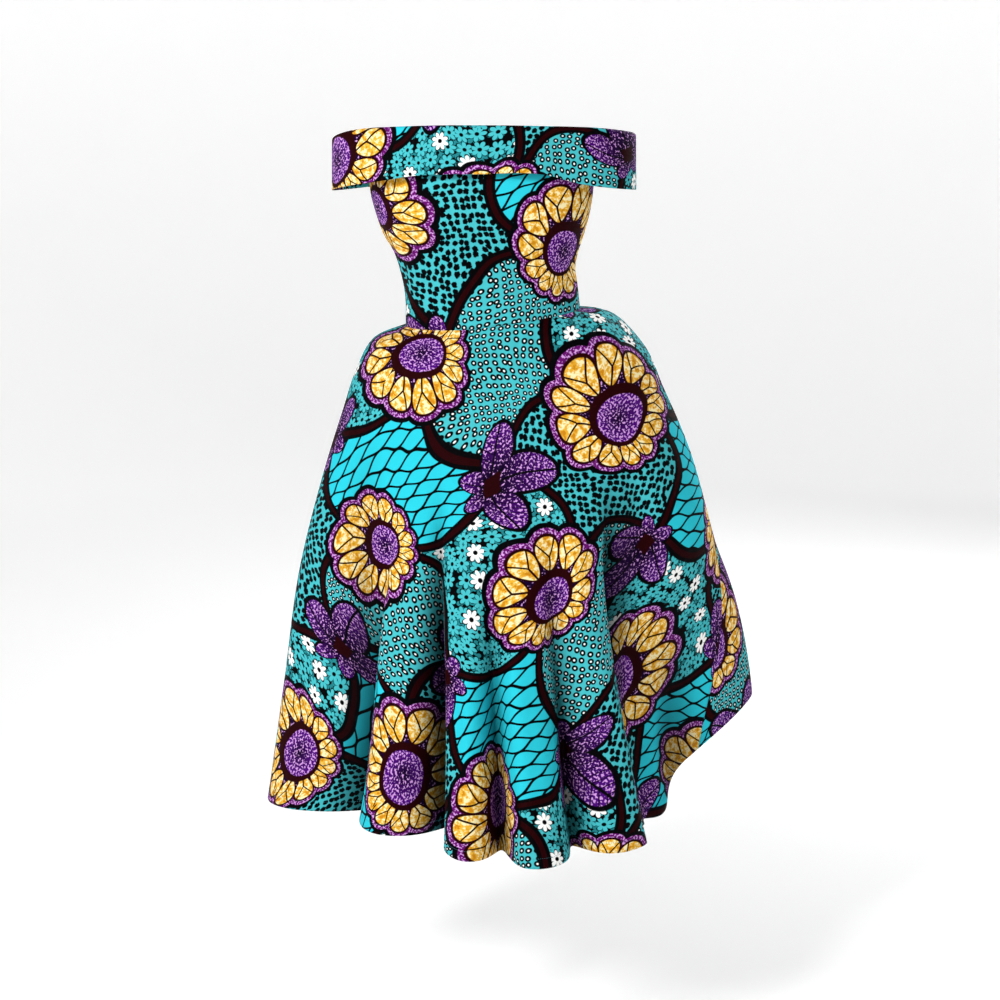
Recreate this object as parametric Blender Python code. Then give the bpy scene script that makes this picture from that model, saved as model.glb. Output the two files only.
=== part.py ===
"""Off-shoulder dress in printed cotton: a hollow worn form, in metres, +Z up.

The origin is the middle of the waist seam. The front faces -Y and the wearer's left is +X.
Angles run round the body from the centre front (0 degrees) towards the wearer's left (+90)
and the centre back (180). The waist tilts a little and the skirt is lifted at the wearer's left.
"""
import math
from collections import namedtuple

import bmesh
import bpy
import numpy as np
from mathutils import Matrix

# ---------------------------------------------------------------- driving sizes
WALL = 0.002            # cloth wall, every cloth piece
SEAM_GAP = 0.0003       # space between two pieces that are sewn edge to edge
ZIP_OPENING = 0.0024    # space between the centre-back edges along the zip
ZIP_FOOT = 0.21         # run of the skirt at which the zip ends
ZIP_FADE = 0.04         # run over which the edges close below the zip
TAPE_WIDTH = 0.024
TAPE_WALL = 0.0012
FOLD_RADIUS = 0.005     # middle of the cloth where the collar turns over
LEG_SPLAY = 0.001       # how far the collar's inner leg leans out
COLLAR_END_CUT = 0.014  # slant of the collar's centre-back ends, at the lower edge
STEP = 1e-4             # step for surface directions, radians and run

SKIRT_ROWS, SKIRT_COLUMNS = 15, 96      # columns in half a turn
ROW_CROWDING = 1.35                     # above 1, the skirt's rows crowd over the hips
HEM_SAMPLES = 20                        # measured places along the hem, for each column
BODICE_ROWS, BODICE_COLUMNS = 8, 24
COLLAR_COLUMNS = 22

# One row for each level: run 0 is the waist seam, reach of the cloth each way, heights there.
Section = namedtuple("Section", "run left right front back z_left z_right z_front z_back square")
SKIRT = (
    Section(0.00, -0.117, 0.125, -0.090, 0.085, 0.004, 0.028, 0.010, 0.018, 2.2),
    Section(0.06, -0.163, 0.172, -0.112, 0.108, -0.015, 0.020, -0.030, -0.020, 2.2),
    Section(0.12, -0.186, 0.214, -0.130, 0.127, -0.055, -0.022, -0.070, -0.060, 2.2),
    Section(0.20, -0.206, 0.243, -0.148, 0.148, -0.113, -0.083, -0.128, -0.115, 2.1),
    Section(0.35, -0.240, 0.281, -0.180, 0.180, -0.219, -0.170, -0.236, -0.217, 2.1),
    Section(0.52, -0.273, 0.312, -0.214, 0.213, -0.340, -0.270, -0.355, -0.330, 2.0),
    Section(0.76, -0.303, 0.352, -0.258, 0.258, -0.514, -0.412, -0.525, -0.485, 2.0),
    Section(1.00, -0.333, 0.392, -0.300, 0.303, -0.688, -0.600, -0.690, -0.640, 2.0),
)
BODICE = (
    Section(0.00, -0.117, 0.125, -0.090, 0.085, 0.004, 0.028, 0.010, 0.018, 2.2),
    Section(0.20, -0.118, 0.121, -0.093, 0.086, 0.050, 0.064, 0.056, 0.060, 2.2),
    Section(0.33, -0.124, 0.118, -0.099, 0.089, 0.081, 0.085, 0.087, 0.085, 2.3),
    Section(0.45, -0.133, 0.122, -0.108, 0.094, 0.108, 0.107, 0.117, 0.112, 2.4),
    Section(0.56, -0.146, 0.129, -0.117, 0.098, 0.130, 0.129, 0.144, 0.138, 2.5),
    Section(0.70, -0.157, 0.137, -0.123, 0.102, 0.161, 0.159, 0.178, 0.172, 2.6),
    Section(0.86, -0.165, 0.142, -0.121, 0.105, 0.196, 0.193, 0.216, 0.210, 2.6),
    Section(1.00, -0.164, 0.143, -0.115, 0.105, 0.228, 0.225, 0.250, 0.245, 2.6),
)

# The collar's inner leg stands on this ring where it goes round the arms.
ARM_LEFT, ARM_RIGHT, ARM_FRONT, ARM_BACK, ARM_SQUARE = -0.206, 0.190, -0.112, 0.102, 2.2
LEAVES_BODICE, ROUND_THE_ARM = 0.60, 0.88   # sine of the angle where the band parts and is free

LEG_LIFT = 0.008        # the inner leg's free edge above the bodice's, over the arms

# The collar round the body: its top, the lower edge of its fall, and how far the fall stands off.
Collar = namedtuple("Collar", "angle top fall splay")
COLLAR = (
    Collar(-90, 0.264, 0.191, 0.001), Collar(-66, 0.276, 0.202, 0.004),
    Collar(-40, 0.280, 0.214, 0.009), Collar(0, 0.281, 0.217, 0.010),
    Collar(36, 0.280, 0.216, 0.009), Collar(60, 0.278, 0.200, 0.005),
    Collar(90, 0.270, 0.192, 0.001), Collar(135, 0.273, 0.199, 0.008),
    Collar(180, 0.272, 0.206, 0.011), Collar(225, 0.272, 0.199, 0.008),
)

# Troughs that run down the skirt: angle and half-width above and at the hem, depth at the hem.
Fold = namedtuple("Fold", "angle_top angle_hem width_top width_hem depth start")
FOLDS = (
    Fold(-50, -50, 26, 28, 0.045, 0.25),    # wide hollow, front right
    Fold(-60, -66, 12, 14, 0.070, 0.16),
    Fold(-42, -66, 3.2, 3.8, 0.032, 0.22),
    Fold(-30, -28, 9, 9, 0.055, 0.26),
    Fold(-29.5, -26.5, 3.6, 4.0, 0.052, 0.22),      # the deepest front fold
    Fold(-5, -4, 5, 6, 0.040, 0.34),
    Fold(-6, -3, 3.0, 3.4, 0.036, 0.40),
    Fold(15, 21, 6, 7, 0.036, 0.25),
    Fold(19, 21.5, 3.0, 3.4, 0.032, 0.33),
    Fold(45, 48, 26, 26, 0.040, 0.25),      # wide hollow, front left
    Fold(44, 50, 3.8, 4.0, 0.050, 0.28),
    Fold(46, 66, 12, 16, 0.110, 0.28),      # leans under the lifted side
    Fold(70, 86, 12, 11, 0.098, 0.48),
    Fold(98, 101, 14, 13, -0.020, 0.60),    # a ridge: the lifted side
    Fold(122, 126, 10, 11, 0.060, 0.22),
    Fold(124, 127, 3.4, 3.8, 0.034, 0.34),
    Fold(146, 149, 8, 9, 0.050, 0.36),
    Fold(168, 169, 7, 8, 0.042, 0.28),
    Fold(167, 169, 3.2, 3.6, 0.034, 0.42),
    Fold(197, 199, 8, 9, 0.054, 0.22),
    Fold(196, 199, 3.4, 3.8, 0.036, 0.36),
    Fold(221, 222, 7, 9, 0.045, 0.38),
    Fold(243, 244, 9, 11, 0.058, 0.26),
    Fold(241, 245, 3.4, 3.8, 0.030, 0.40),
)

# Height of the hem round the skirt.
Hem = namedtuple("Hem", "angle height")
HEM = (
    Hem(-90, -0.690), Hem(-60, -0.673), Hem(-30, -0.674), Hem(0, -0.689), Hem(30, -0.685),
    Hem(60, -0.686), Hem(77, -0.682), Hem(88, -0.625), Hem(99, -0.556), Hem(118, -0.585),
    Hem(150, -0.628), Hem(190, -0.655), Hem(230, -0.680),
)
HEM_START = 0.35        # run below which the heights turn to those of the hem

# Zip slider and pull.
SLIDER_DROP = 0.0075    # middle of the slider below the bodice's top edge
SLIDER_HEIGHT = 0.0085
SLIDER_WALL = 0.0012
SLIDER_HALF = 0.0031
LUG_INSIDE = 0.0023     # half the space between the two lugs
LUG_REACH = 0.0026
LUG_HEIGHT = 0.0030
NECK_HALF = 0.0008
BARREL_RADIUS = 0.0009
BARREL_HALF = 0.0020
PULL_LENGTH = 0.019
PULL_END_HALF = 0.0029

COTTON = (0.02, 0.42, 0.55)
TAPE = (0.03, 0.03, 0.04)
BRASS = (0.62, 0.45, 0.18)


# ---------------------------------------------------------------- curves and surfaces
def through(knots, values, at):
    """Smooth curve through the points (knots, values), read at the places in `at`."""
    knots, values = np.asarray(knots, float), np.asarray(values, float)
    slopes = np.gradient(values, knots)
    i = np.clip(np.searchsorted(knots, at, side="right") - 1, 0, len(knots) - 2)
    span = knots[i + 1] - knots[i]
    u = (at - knots[i]) / span
    return ((1 + 2 * u) * (1 - u) ** 2 * values[i] + u * (1 - u) ** 2 * span * slopes[i]
            + u * u * (3 - 2 * u) * values[i + 1] + u * u * (u - 1) * span * slopes[i + 1])


def ease(x):
    """0 below 0, 1 above 1, and soft between."""
    x = np.clip(x, 0.0, 1.0)
    return x * x * (3 - 2 * x)


def section_at(table, run):
    """A section table's columns at the given runs."""
    runs = [row.run for row in table]
    return Section(*(through(runs, column, run) for column in zip(*table)))


def oval(angle, half_width, front, back, square):
    """Distance from the middle to a squared oval, at each angle."""
    depth = np.where(np.cos(angle) > 0, -front, back)
    across = (np.abs(np.sin(angle)) / half_width) ** square
    along = (np.abs(np.cos(angle)) / depth) ** square
    return (across + along) ** (-1 / square)


def four_way(angle, left, right, front, back):
    """Smooth value round the body that takes the four given values at its four sides."""
    mean = (left + right + front + back) / 4
    return (mean + (front - back) / 2 * np.cos(angle) + (right - left) / 2 * np.sin(angle)
            + (front + back - left - right) / 4 * np.cos(2 * angle))


def turned(angle, middle):
    """Degrees, moved to within half a turn of the middle."""
    return (np.degrees(angle) - middle + 180) % 360 - 180


def fold_depth(angle, run):
    """How far the skirt's troughs go in, at each angle and run."""
    total = np.zeros(np.broadcast(angle, run).shape)
    for fold in FOLDS:
        down = np.clip((run - fold.start) / (1 - fold.start), 0, 1)
        middle = fold.angle_top + (fold.angle_hem - fold.angle_top) * down
        width = fold.width_top + (fold.width_hem - fold.width_top) * down
        depth = fold.depth * ease(down) ** 0.8
        total = total + depth * np.exp(-(turned(angle, middle) / width) ** 2)
    return total


def round_body(table, column, angle):
    """One column of a table of angles, read all round the body."""
    degrees = [row.angle for row in table]
    values = [getattr(row, column) for row in table]
    degrees = [degrees[-1] - 360] + degrees + [degrees[0] + 360, degrees[1] + 360]
    values = [values[-1]] + values + values[:2]
    start = table[0].angle
    return through(degrees, values, (np.degrees(angle) - start) % 360 + start)


def skirt_point(angle, run):
    """Middle of the skirt's cloth."""
    row = section_at(SKIRT, run)
    reach = oval(angle, (row.right - row.left) / 2, row.front, row.back, row.square)
    reach = reach - fold_depth(angle, run)
    z = four_way(angle, row.z_left, row.z_right, row.z_front, row.z_back)
    foot = SKIRT[-1]
    plain_hem = four_way(angle, foot.z_left, foot.z_right, foot.z_front, foot.z_back)
    hem = round_body(HEM, "height", angle)
    z = z + ease((run - HEM_START) / (1 - HEM_START)) * (hem - plain_hem)
    middle = (row.left + row.right) / 2
    return np.stack([middle + reach * np.sin(angle), -reach * np.cos(angle), z], -1)


def bodice_point(angle, run):
    """Middle of the bodice's cloth."""
    row = section_at(BODICE, run)
    reach = oval(angle, (row.right - row.left) / 2, row.front, row.back, row.square)
    z = four_way(angle, row.z_left, row.z_right, row.z_front, row.z_back)
    middle = (row.left + row.right) / 2
    return np.stack([middle + reach * np.sin(angle), -reach * np.cos(angle), z], -1)


def directions(surface, angle, run):
    """Outward directions of a surface, and the speed of its points along the angle."""
    along = (surface(angle + STEP, run) - surface(angle - STEP, run)) / (2 * STEP)
    low, high = np.clip(run - STEP, 0, 1), np.clip(run + STEP, 0, 1)
    down = surface(angle, high) - surface(angle, low)
    out = np.cross(down, along)
    away = np.stack([np.sin(angle), -np.cos(angle), np.zeros_like(angle)], -1)
    out = out * np.sign(np.sum(out * away, -1, keepdims=True))
    return out / np.linalg.norm(out, axis=-1, keepdims=True), np.linalg.norm(along, axis=-1)


def level(out):
    """The same directions with no rise or fall."""
    flat = out * (1, 1, 0)
    return flat / np.linalg.norm(flat, axis=-1, keepdims=True)


# ---------------------------------------------------------------- making objects
def material(name, colour, roughness, metallic=0.0):
    """A plain Principled material."""
    made = bpy.data.materials.new(name)
    made.use_nodes = True
    shader = made.node_tree.nodes["Principled BSDF"]
    shader.inputs["Base Color"].default_value = (*colour, 1.0)
    shader.inputs["Roughness"].default_value = roughness
    shader.inputs["Metallic"].default_value = metallic
    return made


def finished(name, shape, finish, smooth=True):
    """Turn a bmesh into an object with its material, faces pointing out."""
    bmesh.ops.recalc_face_normals(shape, faces=shape.faces)
    if shape.calc_volume(signed=True) < 0:
        bmesh.ops.reverse_faces(shape, faces=shape.faces)
    mesh = bpy.data.meshes.new(name)
    shape.to_mesh(mesh)
    shape.free()
    if smooth:
        mesh.shade_smooth()
        mesh.set_sharp_from_angle(angle=math.radians(50))
    mesh.materials.append(finish)
    made = bpy.data.objects.new(name, mesh)
    bpy.context.collection.objects.link(made)
    return made


def grid_index(place, count):
    """Which of `count` grid lines lies at a place between -1 and 1."""
    return round((place + 1) / 2 * (count - 1))


def wall(name, middles, outs, thickness, finish):
    """A closed wall of even thickness: a grid on its outer side, extruded to its inner side."""
    rows, columns = middles.shape[:2]
    outer = (middles + outs * thickness / 2).reshape(-1, 3)
    inner = (middles - outs * thickness / 2).reshape(-1, 3)
    shape = bmesh.new()
    bmesh.ops.create_grid(shape, x_segments=columns - 1, y_segments=rows - 1, size=1)
    place = shape.verts.layers.int.new("place")
    for vert in shape.verts:
        vert[place] = grid_index(vert.co.y, rows) * columns + grid_index(vert.co.x, columns)
    bmesh.ops.triangulate(shape, faces=shape.faces, quad_method="FIXED")
    copied = bmesh.ops.extrude_face_region(shape, geom=shape.faces[:])["geom"]
    far = {item for item in copied if isinstance(item, bmesh.types.BMVert)}
    for vert in shape.verts:
        vert.co = (inner if vert in far else outer)[vert[place]]
    return finished(name, shape, finish)


def across(first, last, shares):
    """Angles from the first column's to the last's; both may change from row to row."""
    return first[:, None] + (last - first)[:, None] * shares


def even(columns):
    """Shares of the way across that are evenly spaced in angle."""
    return np.linspace(0, 1, columns + 1)


def along_hem(start, end, columns):
    """Shares of the way across that are evenly spaced along the skirt's hem, folds and all."""
    share = even(HEM_SAMPLES * columns)
    hem = skirt_point(start + (end - start) * share, np.ones_like(share))
    far = np.concatenate([[0], np.cumsum(np.linalg.norm(np.diff(hem, axis=0), axis=1))])
    return np.interp(even(columns) * far[-1], far, share)


# ---------------------------------------------------------------- skirt and bodice
def edge_angles(surface, runs, side, opening):
    """Angle of a panel's edge, held back from its seam at `side` by half the opening."""
    seam = np.full_like(runs, side)
    speed = directions(surface, seam, runs)[1]
    return opening / 2 / speed


def panel(name, surface, runs, start, end, gaps, shares, flat_rows, finish):
    """One panel between two seams. `gaps` holds the openings at its two side edges."""
    first = start + edge_angles(surface, runs, start, gaps[0])
    last = end - edge_angles(surface, runs, end, gaps[1])
    angle = across(first, last, shares)
    run = np.repeat(runs[:, None], len(shares), axis=1)
    facing = angle.copy()
    facing[:, 0], facing[:, -1] = start, end    # sewn edges face the same way
    out = directions(surface, facing, run)[0]
    out[flat_rows] = level(out[flat_rows])
    middles = surface(angle, run)
    middles[runs == 0, :, 2] += waist_shift(surface)
    return wall(name, middles, out, WALL, finish)


def waist_shift(surface):
    """Half the waist seam's gap: up for the bodice, down for the skirt."""
    return SEAM_GAP / 2 if surface is bodice_point else -SEAM_GAP / 2


def skirt_runs():
    """Rows of the skirt, closer together over the rounded hips."""
    return np.linspace(0, 1, SKIRT_ROWS + 1) ** ROW_CROWDING


def zip_gap(runs):
    """Opening between the centre-back edges: wide along the zip, a seam below it."""
    closed = ease((runs - ZIP_FOOT) / ZIP_FADE)
    return ZIP_OPENING + (SEAM_GAP - ZIP_OPENING) * closed


def make_skirt(finish):
    """Three skirt panels: the front, and two backs that meet at the zip and its seam."""
    runs = skirt_runs()
    seam = np.full_like(runs, SEAM_GAP)
    back = zip_gap(runs)
    quarter, back_columns = math.pi / 2, SKIRT_COLUMNS // 3
    panel("skirt_front", skirt_point, runs, -quarter, quarter, (seam, seam),
          along_hem(-quarter, quarter, SKIRT_COLUMNS), runs == 0, finish)
    panel("skirt_back_left", skirt_point, runs, quarter, 2 * quarter, (seam, back),
          along_hem(quarter, 2 * quarter, back_columns), runs == 0, finish)
    panel("skirt_back_right", skirt_point, runs, 2 * quarter, 3 * quarter, (back, seam),
          along_hem(2 * quarter, 3 * quarter, back_columns), runs == 0, finish)


def make_bodice(finish):
    """Three bodice panels. Their top edge is level across the cloth, for the collar."""
    runs = np.linspace(0, 1, BODICE_ROWS + 1)
    seam = np.full_like(runs, SEAM_GAP)
    back = np.full_like(runs, ZIP_OPENING)
    quarter, half = math.pi / 2, BODICE_COLUMNS // 2
    flat = (runs == 0) | (runs == 1)
    panel("bodice_front", bodice_point, runs, -quarter, quarter, (seam, seam),
          even(BODICE_COLUMNS), flat, finish)
    panel("bodice_back_left", bodice_point, runs, quarter, 2 * quarter, (seam, back),
          even(half), flat, finish)
    panel("bodice_back_right", bodice_point, runs, 2 * quarter, 3 * quarter, (back, seam),
          even(half), flat, finish)


# ---------------------------------------------------------------- collar
def parted(angle):
    """0 where the band is sewn to the bodice, 1 where it is free round an arm."""
    return ease((np.abs(np.sin(angle)) - LEAVES_BODICE) / (ROUND_THE_ARM - LEAVES_BODICE))


def collar_ring(angle):
    """Foot of the collar's inner leg: on the bodice's edge, then out round the arms."""
    top = BODICE[-1]
    middle = (top.left + top.right) / 2
    sewn = bodice_point(angle, np.ones_like(angle))
    side = np.where(np.sin(angle) < 0, middle - ARM_LEFT, ARM_RIGHT - middle)
    reach = oval(angle, side, ARM_FRONT, ARM_BACK, ARM_SQUARE)
    lift = sewn[..., 2] + SEAM_GAP + LEG_LIFT * parted(angle)
    free = np.stack([middle + reach * np.sin(angle), -reach * np.cos(angle), lift], -1)
    sewn[..., 2] = lift
    return sewn + (free - sewn) * parted(angle)[..., None]


# Places along the collar's section: 0 to 1 up the inner leg, 1 to 2 round the fold, 2 to 3 down.
COLLAR_PROFILE = np.array([0, 0.5, 1, 1.2, 1.4, 1.6, 1.8, 2, 2.2, 2.45, 2.7, 2.85, 3.0])


def collar_point(angle, along):
    """Middle of the collar's cloth, at an angle and a place along its section."""
    top, fall, splay = (round_body(COLLAR, name, angle) for name in ("top", "fall", "splay"))
    crown = top - WALL / 2 - FOLD_RADIUS
    up, turn, down = np.clip(along, 0, 1), np.clip(along - 1, 0, 1), np.clip(along - 2, 0, 1)
    foot = collar_ring(angle)
    run = collar_ring(angle + STEP) - collar_ring(angle - STEP)
    away = np.stack([run[..., 1], -run[..., 0], np.zeros_like(angle)], -1)
    away = away / np.linalg.norm(away, axis=-1, keepdims=True)
    offset = LEG_SPLAY * up + FOLD_RADIUS * (1 - np.cos(math.pi * turn)) + splay * down ** 1.2
    rise = (crown - foot[..., 2]) * up + FOLD_RADIUS * np.sin(math.pi * turn)
    point = foot + away * offset[..., None]
    point[..., 2] += rise - (crown - fall) * down
    return point


def collar_out(angle, along):
    """Direction across the collar's cloth, on the side that shows."""
    across = collar_point(angle + STEP, along) - collar_point(angle - STEP, along)
    low, high = np.clip(along - STEP, 0, 3), np.clip(along + STEP, 0, 3)
    down = collar_point(angle, high) - collar_point(angle, low)
    out = np.cross(across, down)
    out = out / np.linalg.norm(out, axis=-1, keepdims=True)
    leg_foot = along == 0
    out[leg_foot] = level(out[leg_foot])
    return out


def collar_piece(name, start, end, cuts, columns, finish):
    """One stretch of the folded band. `cuts` is the slant of its two ends, in metres."""
    places = COLLAR_PROFILE
    ends = np.array([start, end])
    speed = np.linalg.norm(collar_ring(ends + STEP) - collar_ring(ends), axis=-1) / STEP
    slant = np.clip((places - 1) / 2, 0, 1)
    first = start + (SEAM_GAP / 2 + cuts[0] * slant) / speed[0]
    last = end - (SEAM_GAP / 2 + cuts[1] * slant) / speed[1]
    angle = across(first, last, even(columns))
    along = np.repeat(places[:, None], columns + 1, axis=1)
    return wall(name, collar_point(angle, along), collar_out(angle, along), WALL, finish)


def make_collar(finish):
    """The collar: a front band and two back bands with slanted centre-back ends."""
    quarter, half = math.pi / 2, COLLAR_COLUMNS // 2
    collar_piece("collar_front", -quarter, quarter, (0, 0), COLLAR_COLUMNS, finish)
    collar_piece("collar_back_left", quarter, 2 * quarter, (0, COLLAR_END_CUT), half, finish)
    collar_piece("collar_back_right", 2 * quarter, 3 * quarter, (COLLAR_END_CUT, 0), half, finish)


# ---------------------------------------------------------------- zip
def make_tape(finish):
    """The closed zip's tape, inside the centre-back seam, from the back panels' own points."""
    bodice_runs = np.linspace(1, 0, BODICE_ROWS + 1)
    skirt_part = skirt_runs()
    skirt_part = skirt_part[(skirt_part > 0) & (skirt_part <= ZIP_FOOT)]
    middles, outs = [], []
    for surface, runs in ((bodice_point, bodice_runs), (skirt_point, skirt_part)):
        half = edge_angles(surface, runs, math.pi, TAPE_WIDTH)
        angle = across(math.pi - half, math.pi + half, even(4))
        run = np.repeat(runs[:, None], angle.shape[1], axis=1)
        out = directions(surface, angle, run)[0]
        edge = (runs == 0) | (runs == 1)
        out[edge] = level(out[edge])
        inward = WALL / 2 + SEAM_GAP + TAPE_WALL / 2
        middles.append(surface(angle, run) - out * inward)
        outs.append(out)
    wall("zip_tape", np.concatenate(middles), np.concatenate(outs), TAPE_WALL, finish)


def slider_frame():
    """Place and lean of the slider: X across, Z up the back, Y out of the cloth."""
    height = BODICE[-1].z_back - BODICE[0].z_back
    angle, run = np.array(math.pi), np.array(1 - SLIDER_DROP / height)
    point, out = bodice_point(angle, run), directions(bodice_point, angle, run)[0]
    rise = bodice_point(angle, np.array(1.0)) - point
    across = np.cross(out, rise)
    across = across / np.linalg.norm(across)
    columns = (across, out, np.cross(across, out), point)
    return Matrix([[*row] for row in zip(*columns)] + [[0, 0, 0, 1]])


def hinge_frame():
    """The slider's frame moved out to the axis of the pull, between the lugs."""
    out = WALL / 2 + SEAM_GAP + SLIDER_WALL + SEAM_GAP + BARREL_RADIUS
    return slider_frame() @ Matrix.Translation((0, out, (SLIDER_HEIGHT - LUG_HEIGHT) / 2))


def pushed(shape, faces, move, open_sheet=False):
    """Extrude some faces and move the new ones; an open sheet keeps its first side too."""
    made = bmesh.ops.extrude_face_region(shape, geom=faces)["geom"]
    if not open_sheet:
        bmesh.ops.delete(shape, geom=faces, context="FACES")
    verts = [item for item in made if isinstance(item, bmesh.types.BMVert)]
    bmesh.ops.translate(shape, verts=verts, vec=move)
    return [item for item in made if isinstance(item, bmesh.types.BMFace)]


def make_slider(finish):
    """Plate outside the cloth, with two lugs for the pull and a neck down to the teeth."""
    across = (-SLIDER_HALF, -LUG_INSIDE, -NECK_HALF, NECK_HALF, LUG_INSIDE, SLIDER_HALF)
    rising = (-SLIDER_HEIGHT / 2, SLIDER_HEIGHT / 2 - LUG_HEIGHT, SLIDER_HEIGHT / 2)
    back = WALL / 2 + SEAM_GAP
    shape = bmesh.new()
    bmesh.ops.create_grid(shape, x_segments=len(across) - 1, y_segments=len(rising) - 1, size=1)
    for vert in shape.verts:
        column, row = grid_index(vert.co.x, len(across)), grid_index(vert.co.y, len(rising))
        vert.co = (across[column], back, rising[row])
    front = pushed(shape, shape.faces[:], (0, SLIDER_WALL, 0), open_sheet=True)
    lugs = [face for face in front if abs(face.calc_center_median().x) > LUG_INSIDE
            and face.calc_center_median().z > rising[1]]
    neck = [face for face in shape.faces if abs(face.calc_center_median().x) < NECK_HALF
            and abs(face.calc_center_median().y - back) < SEAM_GAP / 2
            and abs(face.normal.y) > 0.5]
    pushed(shape, lugs, (0, LUG_REACH, 0))
    pushed(shape, neck, (0, -WALL - SEAM_GAP, 0))
    slider = finished("zip_slider", shape, finish, smooth=False)
    slider.matrix_world = slider_frame()


def make_pull(finish):
    """A barrel between the lugs, one flat of it drawn down into a tab with a wider end."""
    shape = bmesh.new()
    sides = 8
    bmesh.ops.create_circle(shape, cap_ends=True, radius=BARREL_RADIUS, segments=sides,
                            matrix=Matrix.Translation((-BARREL_HALF, 0, 0))
                            @ Matrix.Rotation(math.pi / 2, 4, "Y")
                            @ Matrix.Rotation(math.pi / sides, 4, "Z"))
    pushed(shape, shape.faces[:], (2 * BARREL_HALF, 0, 0), open_sheet=True)
    lowest = [min(shape.faces, key=lambda face: face.calc_center_median().z)]
    tab = ((0.25, 0.75), (0.45, 1.0), (0.20, PULL_END_HALF / BARREL_HALF), (0.10, 0.8))
    width = 1.0
    for share, wanted in tab:
        lowest = pushed(shape, lowest, (0, 0, -PULL_LENGTH * share))
        verts = {vert for face in lowest for vert in face.verts}
        bmesh.ops.scale(shape, verts=list(verts), vec=(wanted / width, 1, 1))
        width = wanted
    pull = finished("zip_pull", shape, finish, smooth=False)
    pull.matrix_world = hinge_frame()


def build():
    """Clear the scene and make every piece of the dress."""
    for item in list(bpy.data.objects):
        bpy.data.objects.remove(item)
    cotton = material("wax_print_cotton", COTTON, 0.75)
    tape = material("zip_tape", TAPE, 0.85)
    metal = material("zip_metal", BRASS, 0.35, metallic=1.0)
    make_bodice(cotton)
    make_skirt(cotton)
    make_collar(cotton)
    make_tape(tape)
    make_slider(metal)
    make_pull(metal)


build()
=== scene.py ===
import math
from collections import namedtuple

import bmesh
import bpy
import numpy as np
from mathutils import Matrix, Vector


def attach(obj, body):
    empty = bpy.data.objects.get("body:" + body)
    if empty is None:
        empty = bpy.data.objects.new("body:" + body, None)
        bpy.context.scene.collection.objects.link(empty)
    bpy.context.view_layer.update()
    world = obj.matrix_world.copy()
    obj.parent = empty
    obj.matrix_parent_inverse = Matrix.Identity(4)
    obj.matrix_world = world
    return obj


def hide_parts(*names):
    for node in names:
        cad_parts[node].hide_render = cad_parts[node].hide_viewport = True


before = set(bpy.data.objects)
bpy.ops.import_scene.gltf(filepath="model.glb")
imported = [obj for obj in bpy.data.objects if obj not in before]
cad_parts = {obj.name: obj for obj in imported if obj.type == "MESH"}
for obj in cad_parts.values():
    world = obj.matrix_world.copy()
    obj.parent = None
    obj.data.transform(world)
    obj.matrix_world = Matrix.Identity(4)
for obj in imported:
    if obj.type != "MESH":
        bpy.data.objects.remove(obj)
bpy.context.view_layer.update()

# ------------------------------------------------------------------ Camera
# A long lens at the wearer's chest height, three metres in front of the dress and tipped down
# a little. It takes a square picture, 1000 pixels each way.
CAMERA_PLACE = (0.014, -3.0, 0.30)
CAMERA_TIP = math.radians(10.3)
PICTURE_PIXELS = 1000
LENS_PIXELS = 2144
SENSOR = 36.0

lens = bpy.data.cameras.new("camera")
lens.sensor_width = SENSOR
lens.lens = LENS_PIXELS / PICTURE_PIXELS * SENSOR
camera = bpy.data.objects.new("camera", lens)
camera.location = CAMERA_PLACE
camera.rotation_euler = (math.pi / 2 - CAMERA_TIP, 0, 0)
bpy.context.collection.objects.link(camera)
bpy.context.scene.camera = camera
bpy.context.scene.view_settings.view_transform = "Standard"

# ------------------------------------------------------------------ Studio
# A pale matt floor a little below the hanging dress, bent up all round like a shallow paper
# bowl, with large soft lamps in front, above and behind.
FLOOR_HEIGHT = -1.05
FLOOR_RADIUS, BEND_RADIUS, RIM_HEIGHT = 5.0, 1.8, 5.4
BEND_STEPS, ROUND_STEPS = 16, 72
SAME_PLACE = 1e-5           # points nearer than this are one
PAPER_COLOUR, PAPER_MATT = (0.88, 0.88, 0.88, 1), 0.9
GLOW_REACH = (1.4, 5.0)     # painted light: the paper glows, more brightly further out
GLOW_INNER, GLOW_OUTER = (0.10, 0.10, 0.10, 1), (0.31, 0.31, 0.31, 1)
ROOM_LIGHT = 0.03

shape = bmesh.new()
bend = np.linspace(0, math.pi / 2, BEND_STEPS + 1)
corners = [shape.verts.new((0, 0, FLOOR_HEIGHT))]
corners += [shape.verts.new((FLOOR_RADIUS + BEND_RADIUS * math.sin(turn), 0,
                             FLOOR_HEIGHT + BEND_RADIUS * (1 - math.cos(turn)))) for turn in bend]
corners.append(shape.verts.new((FLOOR_RADIUS + BEND_RADIUS, 0, RIM_HEIGHT)))
profile = [shape.edges.new(pair) for pair in zip(corners, corners[1:])]
bmesh.ops.spin(shape, geom=corners + profile, cent=(0, 0, 0), axis=(0, 0, 1),
               angle=2 * math.pi, steps=ROUND_STEPS, use_merge=True)
bmesh.ops.remove_doubles(shape, verts=shape.verts, dist=SAME_PLACE)
bmesh.ops.recalc_face_normals(shape, faces=shape.faces)
mesh = bpy.data.meshes.new("studio_floor")
shape.to_mesh(mesh)
shape.free()
mesh.shade_smooth()
floor = bpy.data.objects.new("studio_floor", mesh)
bpy.context.collection.objects.link(floor)

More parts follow.
